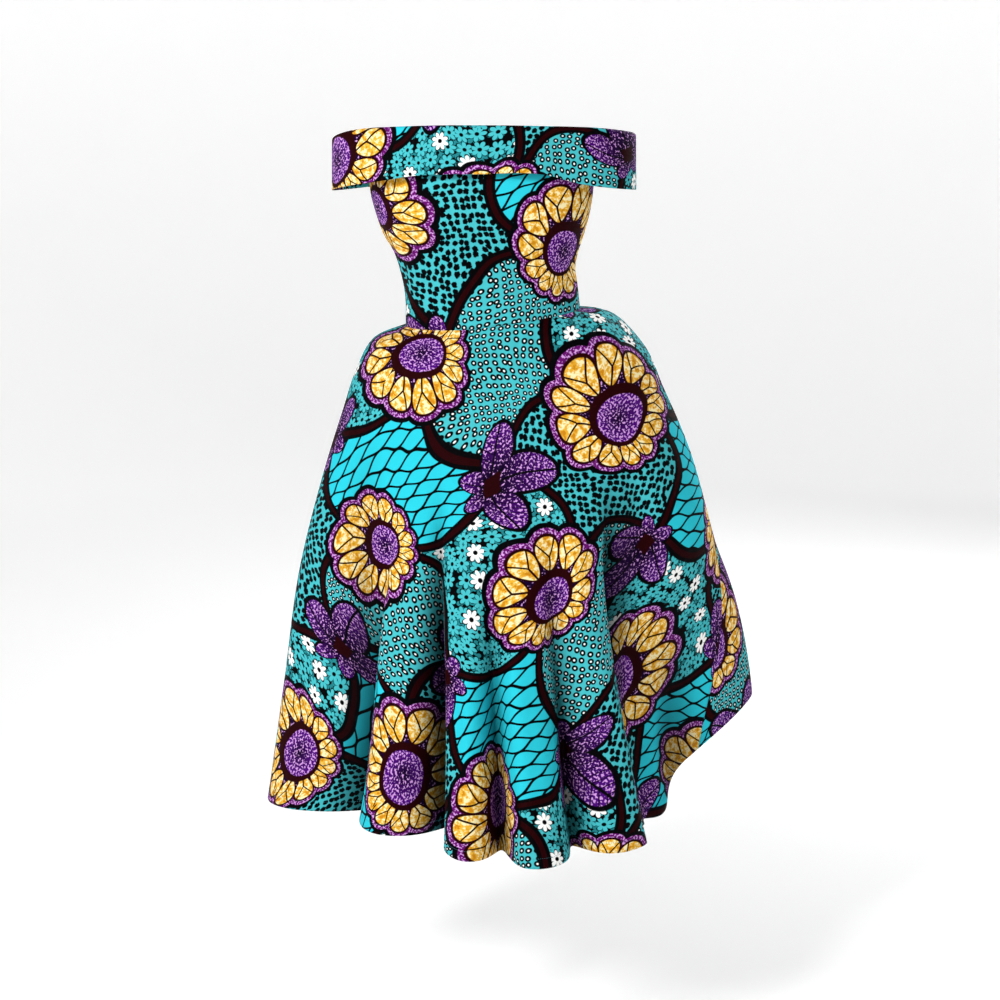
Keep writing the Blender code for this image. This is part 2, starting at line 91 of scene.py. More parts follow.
class Ink:
    """One output of a material's nodes. Operators on it add Math nodes."""

    def __init__(self, tree, socket=None):
        self.tree, self.socket = tree, socket

    def node(self, kind, settings=None, inputs=None, give=0):
        """Add a node: its settings first, then the values or links of its sockets."""
        made = self.tree.nodes.new(kind)
        for name, value in (settings or {}).items():
            setattr(made, name, value)
        for key, value in (inputs or {}).items():
            if isinstance(value, Ink):
                self.tree.links.new(value.socket, made.inputs[key])
            else:
                made.inputs[key].default_value = value
        return Ink(self.tree, made.outputs[give])

    def place(self):
        """Where this point lies on the object."""
        return self.node("ShaderNodeTexCoord", give="Object")

    def other(self, give):
        """Another output of the same node."""
        return Ink(self.tree, self.socket.node.outputs[give])

    def math(self, operation, *values):
        """A Math node that starts with this value."""
        inputs = dict(enumerate((self, *values)))
        return self.node("ShaderNodeMath", {"operation": operation}, inputs)

    def reflected(self, operation, value):
        """A Math node that ends with this value."""
        return self.node("ShaderNodeMath", {"operation": operation}, {0: value, 1: self})

    def __add__(self, value):
        return self.math("ADD", value)

    def __sub__(self, value):
        return self.math("SUBTRACT", value)

    def __mul__(self, value):
        return self.math("MULTIPLY", value)

    def __truediv__(self, value):
        return self.math("DIVIDE", value)

    def __gt__(self, value):
        return self.math("GREATER_THAN", value)

    def __radd__(self, value):
        return self.reflected("ADD", value)

    def __rsub__(self, value):
        return self.reflected("SUBTRACT", value)

    def __rmul__(self, value):
        return self.reflected("MULTIPLY", value)

    def __rtruediv__(self, value):
        return self.reflected("DIVIDE", value)

    def rise(self, low, high):
        """0 below `low`, 1 above `high`, straight between."""
        return self.node("ShaderNodeMapRange", None, {0: self, 1: low, 2: high})

    def span(self, low, high):
        """From `low` to `high` as this value goes from 0 to 1."""
        return low + (high - low) * self

    def within(self, size, soft):
        """1 where this distance is under `size`, with an edge `soft` wide."""
        edges = {0: self, 1: size - soft / 2, 2: size + soft / 2, 3: 1.0, 4: 0.0}
        return self.node("ShaderNodeMapRange", None, edges)

    def between(self, first, second):
        """The second colour over the first, by this share."""
        colours = {0: self, 6: first, 7: second}
        return self.node("ShaderNodeMix", {"data_type": "RGBA"}, colours, 2)

    def with_y(self, y):
        """A flat vector from this value and another."""
        return self.node("ShaderNodeCombineXYZ", None, {0: self, 1: y})

    def parts(self):
        """The first two parts of this vector."""
        first = self.node("ShaderNodeSeparateXYZ", None, {0: self})
        return first, first.other(1)

    def noise(self, scale, detail=1.0, give=0, space="2D"):
        """Soft noise at this place."""
        inputs = {"Vector": self, "Scale": scale, "Detail": detail}
        return self.node("ShaderNodeTexNoise", {"noise_dimensions": space}, inputs, give)

    def cells(self, scale, uneven):
        """Distance to the nearest of many scattered points, in cells."""
        inputs = {"Vector": self, "Scale": scale, "Randomness": uneven}
        return self.node("ShaderNodeTexVoronoi", {"voronoi_dimensions": "2D"}, inputs)

    def relief(self, strength, height):
        """Fine relief that follows this value, up to a height in metres."""
        inputs = {"Strength": strength, "Distance": height, "Height": self}
        return self.node("ShaderNodeBump", None, inputs)

    def feed(self, name):
        """Link this value to a socket of the material's shader."""
        self.tree.links.new(self.socket, self.tree.nodes["Principled BSDF"].inputs[name])


def new_material(name, plain):
    """A material with plain values on its shader's sockets, and the start of its nodes."""
    made = bpy.data.materials.new(name)
    made.use_nodes = True
    for socket, value in plain.items():
        made.node_tree.nodes["Principled BSDF"].inputs[socket].default_value = value
    return made, Ink(made.node_tree)


paper, start = new_material("studio_paper", {
    "Base Color": PAPER_COLOUR, "Roughness": PAPER_MATT, "Emission Strength": 1.0})
# Painted light: the paper glows, dimly near the middle and more brightly further out.
at = start.place()
far = at.node("ShaderNodeVectorMath", {"operation": "LENGTH"}, {0: at}, "Value")
far.rise(*GLOW_REACH).between(GLOW_INNER, GLOW_OUTER).feed("Emission Color")
mesh.materials.append(paper)


def lamp(name, place, target, size, power):
    """A square soft lamp that faces the target."""
    light = bpy.data.lights.new(name, "AREA")
    light.size = size
    light.energy = power
    made = bpy.data.objects.new(name, light)
    made.location = place
    aim = Vector(target) - Vector(place)
    made.rotation_euler = aim.to_track_quat("-Z", "Y").to_euler()
    bpy.context.collection.objects.link(made)


lamp("key_lamp", (-1.8, -2.8, 1.7), (0, 0, -0.2), 0.7, 112)
lamp("top_lamp", (0.0, 0.6, 2.6), (0, 0, 0), 1.0, 8)
lamp("back_lamp", (1.7, 2.6, 1.5), (0, 0, -0.1), 1.0, 80)
world = bpy.data.worlds.new("studio_world")
world.use_nodes = True
background = world.node_tree.nodes["Background"]
background.inputs["Color"].default_value = (1, 1, 1, 1)
background.inputs["Strength"].default_value = ROOM_LIGHT
bpy.context.scene.world = world

# ------------------------------------------------------------------ Skirt
# One flared front and two flared backs in plain-weave cotton with a resist print on both
# faces. They are sewn at the sides and centre back and to the waist, and hang in deep folds.


def away(x, y):
    """Distance of an offset."""
    return (x * x + y * y).math("SQRT")


# Inks of the print
CYAN = (0.022, 0.530, 0.640, 1)
TEAL = (0.056, 0.455, 0.500, 1)
DIM_TEAL = (0.016, 0.200, 0.225, 1)
GOLD = (0.760, 0.400, 0.028, 1)
AMBER = (0.560, 0.220, 0.010, 1)
CREAM = (0.900, 0.780, 0.440, 1)
VIOLET = (0.066, 0.003, 0.165, 1)
MAGENTA = (0.120, 0.004, 0.130, 1)
DARK_PURPLE = (0.007, 0.000, 0.020, 1)
LILAC = (0.600, 0.300, 0.680, 1)
MAROON = (0.016, 0.000, 0.0006, 1)
DARK = (0.0003, 0.0003, 0.0008, 1)
PLAIN_WHITE = (0.900, 0.900, 0.880, 1)
PRINT_EDGE = 0.0007         # soft edge of the printed shapes
DRIFTS, WANDER = 6.5, 0.022     # changes to a metre, and how far the drawing strays each way
SPECKS, MOTTLES, MOTTLE_DETAIL = 320, 125, 2.0  # fine and broad unevenness, to a metre
FULL_TURN = 2 * math.pi

# Vines: two families of swinging lines that part the ground into patches
VINE_SPACING, VINE_SWING, VINE_LEAN = 0.198, 0.054, math.radians(27)
VINE_HALF, VINE_THIN, VINE_SWELL = 0.0058, 0.7, 0.6
VINE_RIM, VINE_CORE = 0.0020, 0.0026
PATCH_KINDS = 4.0

# Small patterns of the ground: points to a metre, how uneven they are, and sizes
Daisy = namedtuple("Daisy", "points uneven petals eye reach lobe rim left_out ink")
DAISIES = (
    Daisy(43, 0.50, 6, 0.0021, 0.0026, 0.0080, 0.0013, 0.00, DIM_TEAL),
    Daisy(50, 0.34, 7, 0.0023, 0.0028, 0.0078, 0.0016, 0.00, TEAL),
    Daisy(21, 0.70, 8, 0.0027, 0.0034, 0.0088, 0.0018, 0.25, PLAIN_WHITE),
)
DOTS, DOT_UNEVEN, DOT_SIZE, DOT_RAGGED, DOT_EDGE = 102, 0.50, 0.42, 0.30, 0.08
RINGS, RING_UNEVEN, RING_SIZE, RING_HOLE, RING_EDGE = 102, 0.42, 0.400, 0.130, 0.06
NET_LENGTH, NET_RISE, NET_LINE, NET_STRAY = 0.062, 0.0112, 0.00180, 5.0

# Flowers and leaf sprays: which crossings, reach in metres, and the rest as shares of it
FLOWER_CROSSING, SPRAY_CROSSING = 0.0, 0.5
FLOWER_REACH, FLOWER_PETALS, FLOWER_UNEVEN = 0.119, 12, 0.19
FLOWER_LEAST, FLOWER_GROWTH = 0.92, 0.16
SPRAY_REACH, SPRAY_LEAVES, SPRAY_UNEVEN = 0.098, 5, 0.34
SPRAY_LEAST, SPRAY_GROWTH = 0.90, 0.20
CROSSING_STRAY = 0.02
PETAL_MIDDLE, PETAL_HALF, PETAL_WIDE, PETAL_TAPER = 0.600, 0.220, 0.146, 0.34
PETAL_OUTLINE, PETAL_EDGE = 1.17, 0.04
SCALLOP_MIDDLE, SCALLOP_SIZE, SCALLOP_RIM = 0.680, 0.245, 0.066
BORDER_INNER, BORDER_DARK = 0.52, 0.05
VEIN_HALF, VEIN_SPREAD, VEIN_FORK, VEIN_EDGE = 0.0125, 0.14, -0.2, 0.006
VEIN_BEND, VEIN_BENDS, VEIN_STILL = 0.05, 2.4, 0.6
DISC_SIZE, DISC_RING, DISC_SHIFT, ROUND_EDGE = 0.255, 0.335, 0.035, 0.008
LEAF_MIDDLE, LEAF_HALF, LEAF_WIDE, LEAF_TAPER = 0.56, 0.40, 0.27, 0.10
LEAF_OUTLINE, LEAF_EDGE, LEAF_RIB, RIB_EDGE = 1.20, 0.04, 0.016, 0.012
SIDE_RIBS, RIB_SLANT, SIDE_RIB, SIDE_EDGE = 9.0, 7.0, 0.075, 0.05
SPRAY_KNOT, KNOT_EDGE = 0.20, 0.02
PURPLE_FROM, PURPLE_TO = 0.10, 0.85     # from the dark middle of a purple shape to its rim
SPECK_CROWD, SPECK_FROM, SPECK_TO = 0.09, 0.61, 0.67
GOLD_SPECK, GOLD_FROM, GOLD_TO = 0.12, 0.38, 0.48
CREAM_MOTTLE, CREAM_FROM, CREAM_TO = 0.65, 0.49, 0.57


def vines(x, y, pace):
    """Distance to the nearest vine, and the number of the patch between vines."""
    wave_x, wave_y = x * (math.pi / VINE_SPACING), y * (math.pi / VINE_SPACING)
    slope = VINE_SWING * math.pi / VINE_SPACING
    lines, patches = [], []
    for here, wave in ((x, wave_y), (y, wave_x)):
        place = (here + VINE_SWING * wave.math("SINE")) / VINE_SPACING
        off = (place - place.math("ROUND")) * VINE_SPACING
        lean = slope * wave.math("COSINE")
        lines.append(off.math("ABSOLUTE") / (1 + lean * lean).math("SQRT"))
        patches.append(place.math("FLOOR"))
    nearest = lines[0].math("MINIMUM", lines[1]) - VINE_HALF * (VINE_THIN + VINE_SWELL * pace)
    return nearest, (patches[0] + 2 * patches[1]).math("FLOORED_MODULO", PATCH_KINDS)


def daisies(drawn):
    """Small daisies with dark eyes and rims: packed teal ones, dim then bright, then white."""
    colour = DARK
    for row in DAISIES:
        middle = drawn.cells(row.points, row.uneven).other("Position")
        chance, turn = middle.other("Color").parts()
        off = drawn.node("ShaderNodeVectorMath", {"operation": "SUBTRACT"}, {0: drawn, 1: middle})
        x, y = off.parts()
        far = away(x, y)
        lobes = (y.math("ARCTAN2", x) * (row.petals / 2) + turn * FULL_TURN).math("COSINE")
        outside = far - (row.reach + row.lobe * lobes.math("ABSOLUTE").math("SQRT"))
        shown = chance > row.left_out
        colour = (outside.within(row.rim, PRINT_EDGE) * shown).between(colour, DARK)
        petals = outside.within(0, PRINT_EDGE) * far.rise(row.eye, row.eye + PRINT_EDGE)
        colour = (petals * shown).between(colour, row.ink)
    return colour


def dots(drawn, speck):
    """Ragged dark dots on teal."""
    ragged = drawn.cells(DOTS, DOT_UNEVEN) + DOT_RAGGED * (speck - 0.5)
    return ragged.within(DOT_SIZE, DOT_EDGE).between(TEAL, DARK)


def rings(drawn):
    """Small white dots with dark rims on teal."""
    spot = drawn.cells(RINGS, RING_UNEVEN)
    rims = spot.within(RING_SIZE, RING_EDGE).between(TEAL, DARK)
    return spot.within(RING_HOLE, RING_EDGE).between(rims, PLAIN_WHITE)


def net(x, y, drift):
    """A net of wavy lines like scales on bright cyan."""
    wave = x * (FULL_TURN / NET_LENGTH) + drift * NET_STRAY
    swing = 0.5 * NET_RISE * wave.math("COSINE")
    lines = []
    for lane in (y - swing, y - NET_RISE + swing):
        place = lane / (2 * NET_RISE)
        lines.append((place - place.math("ROUND")).math("ABSOLUTE") * (2 * NET_RISE))
    return lines[0].math("MINIMUM", lines[1]).within(NET_LINE, PRINT_EDGE).between(CYAN, DARK)


def crossing(x, y, shift):
    """Offset from the nearest crossing of one kind, and two random numbers for it."""
    a, b = (x + y) / (2 * VINE_SPACING) - shift, (x - y) / (2 * VINE_SPACING) - shift
    a_near, b_near = a.math("ROUND"), b.math("ROUND")
    chance = x.node("ShaderNodeTexWhiteNoise", {"noise_dimensions": "2D"},
                    {"Vector": (a_near + shift).with_y(b_near + shift)}, 1)
    first, second = chance.parts()
    off_a, off_b = (a - a_near) * VINE_SPACING, (b - b_near) * VINE_SPACING
    return (off_a + off_b + CROSSING_STRAY * first, off_a - off_b + CROSSING_STRAY * second,
            first, second)


def whorl(x, y, petals, size, turn, uneven):
    """Share of the reach, places along and across the nearest petal, and its number."""
    angle = y.math("ARCTAN2", x) - turn
    reach = away(x, y) / (size * (1 - uneven + uneven * angle.math("COSINE")))
    place = angle * (petals / FULL_TURN)
    number = place.math("ROUND")
    inside = (place - number) * (FULL_TURN / petals)
    return reach, reach * inside.math("COSINE"), reach * inside.math("SINE"), number


def speckled(speck, rim, purple):
    """Purple with pale specks, dark in the middle."""
    base = rim.rise(PURPLE_FROM, PURPLE_TO).between(DARK_PURPLE, purple)
    return (speck + SPECK_CROWD * rim).rise(SPECK_FROM, SPECK_TO).between(base, LILAC)


def leaf_sprays(x, y, ground, speck):
    """Whorls of purple leaves at every other crossing of the vines."""
    off_x, off_y, first, second = crossing(x, y, SPRAY_CROSSING)
    size = SPRAY_REACH * (SPRAY_LEAST + SPRAY_GROWTH * second)
    reach, along, across, _ = whorl(off_x, off_y, SPRAY_LEAVES, size, first * FULL_TURN,
                                    SPRAY_UNEVEN)
    leaf_x = (along - LEAF_MIDDLE) / LEAF_HALF
    leaf = away(leaf_x, across / (LEAF_WIDE * (1 - LEAF_TAPER * leaf_x)))
    colour = leaf.within(LEAF_OUTLINE, LEAF_EDGE).between(ground, DARK)
    colour = reach.within(SPRAY_KNOT, KNOT_EDGE).between(colour, MAROON)
    blade = speckled(speck, 0.5 + 0.5 * leaf_x, VIOLET)
    off_rib = across.math("ABSOLUTE")
    side = along * SIDE_RIBS - off_rib * RIB_SLANT
    side = (side - side.math("ROUND")).math("ABSOLUTE")
    blade = side.within(SIDE_RIB, SIDE_EDGE).between(blade, DARK_PURPLE)
    blade = off_rib.within(LEAF_RIB, RIB_EDGE).between(blade, DARK)
    return leaf.within(1.0, LEAF_EDGE).between(colour, blade)


def gilded(along, across, number, speck, mottle):
    """Gold of a petal, mottled amber and cream, with a forked vein."""
    gold = (mottle + GOLD_SPECK * speck).rise(GOLD_FROM, GOLD_TO).between(AMBER, GOLD)
    pale = CREAM_MOTTLE * mottle + (1 - CREAM_MOTTLE) * speck
    gold = pale.rise(CREAM_FROM, CREAM_TO).between(gold, CREAM)
    bend = VEIN_BEND * (number * VEIN_BENDS).math("SINE") * (along * along - VEIN_STILL)
    spread = VEIN_SPREAD * (along.math("MAXIMUM", VEIN_FORK) - VEIN_FORK)
    veins = ((across + bend).math("ABSOLUTE") - spread).math("ABSOLUTE")
    return veins.within(VEIN_HALF, VEIN_EDGE).between(gold, MAROON)


def flowers(x, y, ground, speck, mottle):
    """Round flowers: a purple disc, gold petals, and a purple border with a scalloped edge."""
    off_x, off_y, first, second = crossing(x, y, FLOWER_CROSSING)
    size = FLOWER_REACH * (FLOWER_LEAST + FLOWER_GROWTH * second)
    turn = first * FULL_TURN
    reach, along, across, number = whorl(off_x, off_y, FLOWER_PETALS, size, turn,
                                         FLOWER_UNEVEN)
    scallop = away(along - SCALLOP_MIDDLE, across).math("MINIMUM", reach - BORDER_INNER)
    colour = scallop.within(SCALLOP_SIZE + SCALLOP_RIM, ROUND_EDGE).between(ground, DARK)
    border = speckled(speck, scallop.rise(BORDER_DARK, SCALLOP_SIZE), MAGENTA)
    colour = scallop.within(SCALLOP_SIZE, ROUND_EDGE).between(colour, border)
    petal_x = (along - PETAL_MIDDLE) / PETAL_HALF
    petal = away(petal_x, across / (PETAL_WIDE * (1 + PETAL_TAPER * petal_x)))
    colour = petal.within(PETAL_OUTLINE, PETAL_EDGE).between(colour, MAROON)
    gold = gilded(petal_x, across, number, speck, mottle)
    colour = petal.within(1.0, PETAL_EDGE).between(colour, gold)
    ring = away(off_x - DISC_SHIFT * size * turn.math("COSINE"),
                off_y - DISC_SHIFT * size * turn.math("SINE")) / size
    colour = ring.within(DISC_RING, ROUND_EDGE).between(colour, MAROON)
    disc = away(off_x, off_y) / size
    inner = speckled(speck, disc / DISC_SIZE, VIOLET)
    return disc.within(DISC_SIZE, ROUND_EDGE).between(colour, inner)


PAINTED_FOLD_SHADE = 0.90             # painted shade: how much darker the cloth's colour is painted at the bottom of a deep fold
THREAD_PAIR, THREAD_DIM = 0.00075, 0.10     # two threads of the weave, and the painted shade between them, where the relief is low
THREAD_RELIEF = (0.25, 0.0002)
COTTON_MATT, COTTON_GLOSS = (0.62, 0.74), 0.03


def printed_cotton():
    """The cloth's material: its print, its weave, painted shade in the skirt's deep folds and the
    small unevenness of its shine.
    """
    made, start = new_material("wax_print_cotton", {"Specular IOR Level": COTTON_GLOSS})
    flat = start.node("ShaderNodeUVMap", {"uv_map": "cloth"})
    flat_x, flat_y = flat.parts()
    drift_x, drift_y = flat.noise(DRIFTS, give=1).parts()
    drawn_x = flat_x + (drift_x - 0.5) * (2 * WANDER)
    drawn_y = flat_y + (drift_y - 0.5) * (2 * WANDER)
    drawn = drawn_x.with_y(drawn_y)
    x = drawn_x * math.cos(VINE_LEAN) + drawn_y * math.sin(VINE_LEAN)
    y = drawn_y * math.cos(VINE_LEAN) - drawn_x * math.sin(VINE_LEAN)
    speck, mottle = drawn.noise(SPECKS), drawn.noise(MOTTLES, MOTTLE_DETAIL)
    nearest, patch = vines(x, y, drift_x)
    colour = daisies(drawn)
    for kind, filling in enumerate((dots(drawn, speck), net(x, y, drift_y), rings(drawn))):
        colour = (patch > kind + 0.5).between(colour, filling)
    colour = nearest.within(VINE_RIM, PRINT_EDGE).between(colour, DARK)
    colour = nearest.within(-VINE_CORE, PRINT_EDGE).between(colour, MAROON)
    colour = leaf_sprays(x, y, colour, speck)
    colour = flowers(x, y, colour, speck, mottle)

    threads = FULL_TURN / THREAD_PAIR
    weave = (flat_x * threads).math("SINE") * (flat_y * threads).math("SINE")
    # Painted shade: the weave's low parts are darkened.
    colour = (THREAD_DIM * weave.rise(1, -1)).between(colour, DARK)
    # Painted shade: the print is darkened where the skirt lies deep in a fold.
    painted_shade = start.node("ShaderNodeAttribute", {"attribute_name": "painted_fold_shade"}, give="Fac")
    (PAINTED_FOLD_SHADE * painted_shade).between(colour, DARK).feed("Base Color")
    mottle.span(*COTTON_MATT).feed("Roughness")
    weave.relief(*THREAD_RELIEF).feed("Normal")
    return made


wax_print = printed_cotton()

WALL = 0.002            # the solid wall that each panel stands for
CLOTH = 0.0008          # the cloth itself, its outer face on the wall's
SEAM_GAP = 0.0003
ZIP_OPENING = 0.0024
ZIP_FOOT, ZIP_FADE = 0.21, 0.04
ROW_CROWDING = 1.35     # above 1, the rows crowd over the hips
STEP = 1e-4
SKIRT_ROWS, SKIRT_COLUMNS = 124, 240
HEM_SAMPLES = 20        # measured places along the hem, for each column

# One row for each level: its run, from the waist seam down, then reaches and heights each way.
Section = namedtuple("Section", "run left right front back z_left z_right z_front z_back square")
WAIST = Section(0.00, -0.117, 0.125, -0.090, 0.085, 0.004, 0.028, 0.010, 0.018, 2.2)
SKIRT = (
    WAIST,
    Section(0.06, -0.163, 0.172, -0.112, 0.108, -0.015, 0.020, -0.030, -0.020, 2.2),
    Section(0.12, -0.186, 0.214, -0.130, 0.127, -0.055, -0.022, -0.070, -0.060, 2.2),
    Section(0.20, -0.206, 0.243, -0.148, 0.148, -0.113, -0.083, -0.128, -0.115, 2.1),
    Section(0.35, -0.240, 0.281, -0.180, 0.180, -0.219, -0.170, -0.236, -0.217, 2.1),
    Section(0.52, -0.273, 0.312, -0.214, 0.213, -0.340, -0.270, -0.355, -0.330, 2.0),
    Section(0.76, -0.303, 0.352, -0.258, 0.258, -0.514, -0.412, -0.525, -0.485, 2.0),
    Section(1.00, -0.333, 0.392, -0.300, 0.303, -0.688, -0.600, -0.690, -0.640, 2.0),
)

# Troughs that run down the skirt: angle and half-width above and at the hem, depth at the hem.
Fold = namedtuple("Fold", "angle_top angle_hem width_top width_hem depth start")
FOLDS = (
    Fold(-50, -50, 26, 28, 0.045, 0.25),    # wide hollow, front right
    Fold(-60, -66, 12, 14, 0.070, 0.16),
    Fold(-42, -66, 3.2, 3.8, 0.032, 0.22),
    Fold(-30, -28, 9, 9, 0.055, 0.26),
    Fold(-29.5, -26.5, 3.6, 4.0, 0.052, 0.22),      # the deepest front fold
    Fold(-5, -4, 5, 6, 0.040, 0.34),
    Fold(-6, -3, 3.0, 3.4, 0.036, 0.40),
    Fold(15, 21, 6, 7, 0.036, 0.25),
    Fold(19, 21.5, 3.0, 3.4, 0.032, 0.33),
    Fold(45, 48, 26, 26, 0.040, 0.25),      # wide hollow, front left
    Fold(44, 50, 3.8, 4.0, 0.050, 0.28),
    Fold(46, 66, 12, 16, 0.110, 0.28),      # leans under the lifted side
    Fold(70, 86, 12, 11, 0.098, 0.48),
    Fold(98, 101, 14, 13, -0.020, 0.60),    # a ridge: the lifted side
    Fold(122, 126, 10, 11, 0.060, 0.22),
    Fold(124, 127, 3.4, 3.8, 0.034, 0.34),
    Fold(146, 149, 8, 9, 0.050, 0.36),
    Fold(168, 169, 7, 8, 0.042, 0.28),
    Fold(167, 169, 3.2, 3.6, 0.034, 0.42),
    Fold(197, 199, 8, 9, 0.054, 0.22),
    Fold(196, 199, 3.4, 3.8, 0.036, 0.36),
    Fold(221, 222, 7, 9, 0.045, 0.38),
    Fold(243, 244, 9, 11, 0.058, 0.26),
    Fold(241, 245, 3.4, 3.8, 0.030, 0.40),
)

# Height of the hem round the skirt.
Hem = namedtuple("Hem", "angle height")
HEM = (
    Hem(-90, -0.690), Hem(-60, -0.673), Hem(-30, -0.674), Hem(0, -0.689), Hem(30, -0.685),
    Hem(60, -0.686), Hem(77, -0.682), Hem(88, -0.625), Hem(99, -0.556), Hem(118, -0.585),
    Hem(150, -0.628), Hem(190, -0.655), Hem(230, -0.680),
)
HEM_START = 0.35        # run below which the heights turn to those of the hem
FOLD_SWELL = 0.8        # below 1, the folds deepen early
SEAM_HOLD = 0.035       # run within which the waist seam holds the cloth smooth
NEIGHBOUR = math.radians(14)    # how far to each side a fold is set against
SUNK_DEPTH = 0.082      # depth behind its neighbours, at the hem, where the painted fold shade is full

# Creases: middle, lean in degrees over the whole run, half-length, half-width and depth inward.
Crease = namedtuple("Crease", "angle run lean length width depth")
SKIRT_CREASES = (
    Crease(-78, 0.05, 60, 0.10, 4.0, 0.0021), Crease(-63, 0.07, 34, 0.07, 3.2, 0.0016),
    Crease(-49, 0.05, 30, 0.15, 4.4, 0.0020), Crease(-35, 0.04, 12, 0.06, 2.8, 0.0013),
    Crease(-21, 0.06, -8, 0.12, 3.8, 0.0018), Crease(-7, 0.03, 6, 0.06, 2.4, 0.0012),
    Crease(4, 0.05, -14, 0.17, 3.4, 0.0017), Crease(19, 0.04, -20, 0.08, 3.0, 0.0016),
    Crease(31, 0.06, -26, 0.14, 4.6, 0.0020), Crease(48, 0.05, -30, 0.07, 3.0, 0.0014),
    Crease(61, 0.07, -44, 0.12, 4.2, 0.0022), Crease(77, 0.04, -60, 0.08, 3.6, 0.0018),
    Crease(97, 0.05, 40, 0.09, 4.0, 0.0018), Crease(112, 0.06, 24, 0.14, 4.4, 0.0020),
    Crease(129, 0.04, 16, 0.07, 3.0, 0.0014), Crease(143, 0.06, 10, 0.13, 3.8, 0.0018),
    Crease(160, 0.05, 4, 0.08, 3.0, 0.0013), Crease(203, 0.05, -6, 0.10, 3.4, 0.0016),
    Crease(218, 0.06, -14, 0.15, 4.2, 0.0019), Crease(234, 0.04, -22, 0.07, 3.0, 0.0014),
    Crease(251, 0.06, -36, 0.12, 4.0, 0.0020),
    Crease(-42, 0.62, 10, 0.22, 3.6, 0.0060), Crease(-16, 0.72, -6, 0.18, 2.6, 0.0070),
    Crease(4, 0.78, 4, 0.20, 2.6, -0.0060), Crease(26, 0.66, 16, 0.24, 3.2, 0.0080),
    Crease(37, 0.80, 20, 0.16, 2.8, -0.0060), Crease(-80, 0.70, -12, 0.22, 4.0, 0.0070),
    Crease(57, 0.45, 30, 0.20, 4.0, 0.0060), Crease(112, 0.70, 10, 0.20, 3.6, 0.0060),
    Crease(136, 0.66, 6, 0.22, 3.4, 0.0070), Crease(158, 0.74, 4, 0.18, 3.0, -0.0050),
    Crease(184, 0.64, -2, 0.24, 3.2, 0.0070), Crease(210, 0.72, -6, 0.18, 3.0, -0.0055),
    Crease(232, 0.66, -8, 0.22, 3.6, 0.0065), Crease(257, 0.72, -10, 0.20, 3.6, 0.0060),
)


def through(knots, values, at):
    """Smooth curve through the points (knots, values), read at the places in `at`."""
    knots, values = np.asarray(knots, float), np.asarray(values, float)
    slopes = np.gradient(values, knots)
    i = np.clip(np.searchsorted(knots, at, side="right") - 1, 0, len(knots) - 2)
    span = knots[i + 1] - knots[i]
    u = (at - knots[i]) / span
    return ((1 + 2 * u) * (1 - u) ** 2 * values[i] + u * (1 - u) ** 2 * span * slopes[i]
            + u * u * (3 - 2 * u) * values[i + 1] + u * u * (u - 1) * span * slopes[i + 1])


def ease(x):
    """0 below 0, 1 above 1, and soft between."""
    x = np.clip(x, 0.0, 1.0)
    return x * x * (3 - 2 * x)


def section_at(table, run):
    """A section table's columns at the given runs."""
    runs = [row.run for row in table]
    return Section(*(through(runs, column, run) for column in zip(*table)))


def oval(angle, half_width, front, back, square):
    """Distance from the middle to a squared oval, at each angle."""
    depth = np.where(np.cos(angle) > 0, -front, back)
    across = (np.abs(np.sin(angle)) / half_width) ** square
    along = (np.abs(np.cos(angle)) / depth) ** square
    return (across + along) ** (-1 / square)


def round_point(middle, reach, angle, z):
    """Point at an angle round the body and a distance from its middle."""
    return np.stack([middle + reach * np.sin(angle), -reach * np.cos(angle), z], -1)


def four_way(angle, left, right, front, back):
    """Smooth value round the body that takes the four given values at its four sides."""
    mean = (left + right + front + back) / 4
    return (mean + (front - back) / 2 * np.cos(angle) + (right - left) / 2 * np.sin(angle)
            + (front + back - left - right) / 4 * np.cos(2 * angle))


def turned(angle, middle):
    """Degrees, moved to within half a turn of the middle."""
    return (np.degrees(angle) - middle + 180) % 360 - 180


def on_body(table, angle, run, folded=0.0, lifted=0.0):
    """Point on the body that a section table gives, folded inward and lifted."""
    row = section_at(table, run)
    reach = oval(angle, (row.right - row.left) / 2, row.front, row.back, row.square) - folded
    z = four_way(angle, row.z_left, row.z_right, row.z_front, row.z_back) + lifted
    return round_point((row.left + row.right) / 2, reach, angle, z)


def fold_depth(angle, run):
    """How far the skirt's troughs go in, at each angle and run."""
    total = np.zeros(np.broadcast(angle, run).shape)
    for fold in FOLDS:
        down = np.clip((run - fold.start) / (1 - fold.start), 0, 1)
        middle = fold.angle_top + (fold.angle_hem - fold.angle_top) * down
        width = fold.width_top + (fold.width_hem - fold.width_top) * down
        depth = fold.depth * ease(down) ** FOLD_SWELL
        total = total + depth * np.exp(-(turned(angle, middle) / width) ** 2)
    return total


def painted_fold_shade(angle, run):
    """Painted fold shade: 0 on the skirt's open cloth, rising to 1 where it lies deep behind both
    its neighbours.
    """
    sides = fold_depth(angle - NEIGHBOUR, run) + fold_depth(angle + NEIGHBOUR, run)
    return ease((fold_depth(angle, run) - sides / 2) / (SUNK_DEPTH * np.maximum(run, STEP)))


def round_body(table, column, angle):
    """One column of a table of angles, read all round the body."""
    degrees = [row.angle for row in table]
    values = [getattr(row, column) for row in table]
    degrees = [degrees[-1] - 360] + degrees + [degrees[0] + 360, degrees[1] + 360]
    values = [values[-1]] + values + values[:2]
    start = table[0].angle
    return through(degrees, values, (np.degrees(angle) - start) % 360 + start)


def skirt_point(angle, run):
    """Middle of the skirt's wall."""
    foot = SKIRT[-1]
    plain_hem = four_way(angle, foot.z_left, foot.z_right, foot.z_front, foot.z_back)
    lifted = (ease((run - HEM_START) / (1 - HEM_START))
              * (round_body(HEM, "height", angle) - plain_hem))
    return on_body(SKIRT, angle, run, fold_depth(angle, run), lifted)


def unit(vectors):
    """The same directions with a length of 1."""
    return vectors / np.linalg.norm(vectors, axis=-1, keepdims=True)


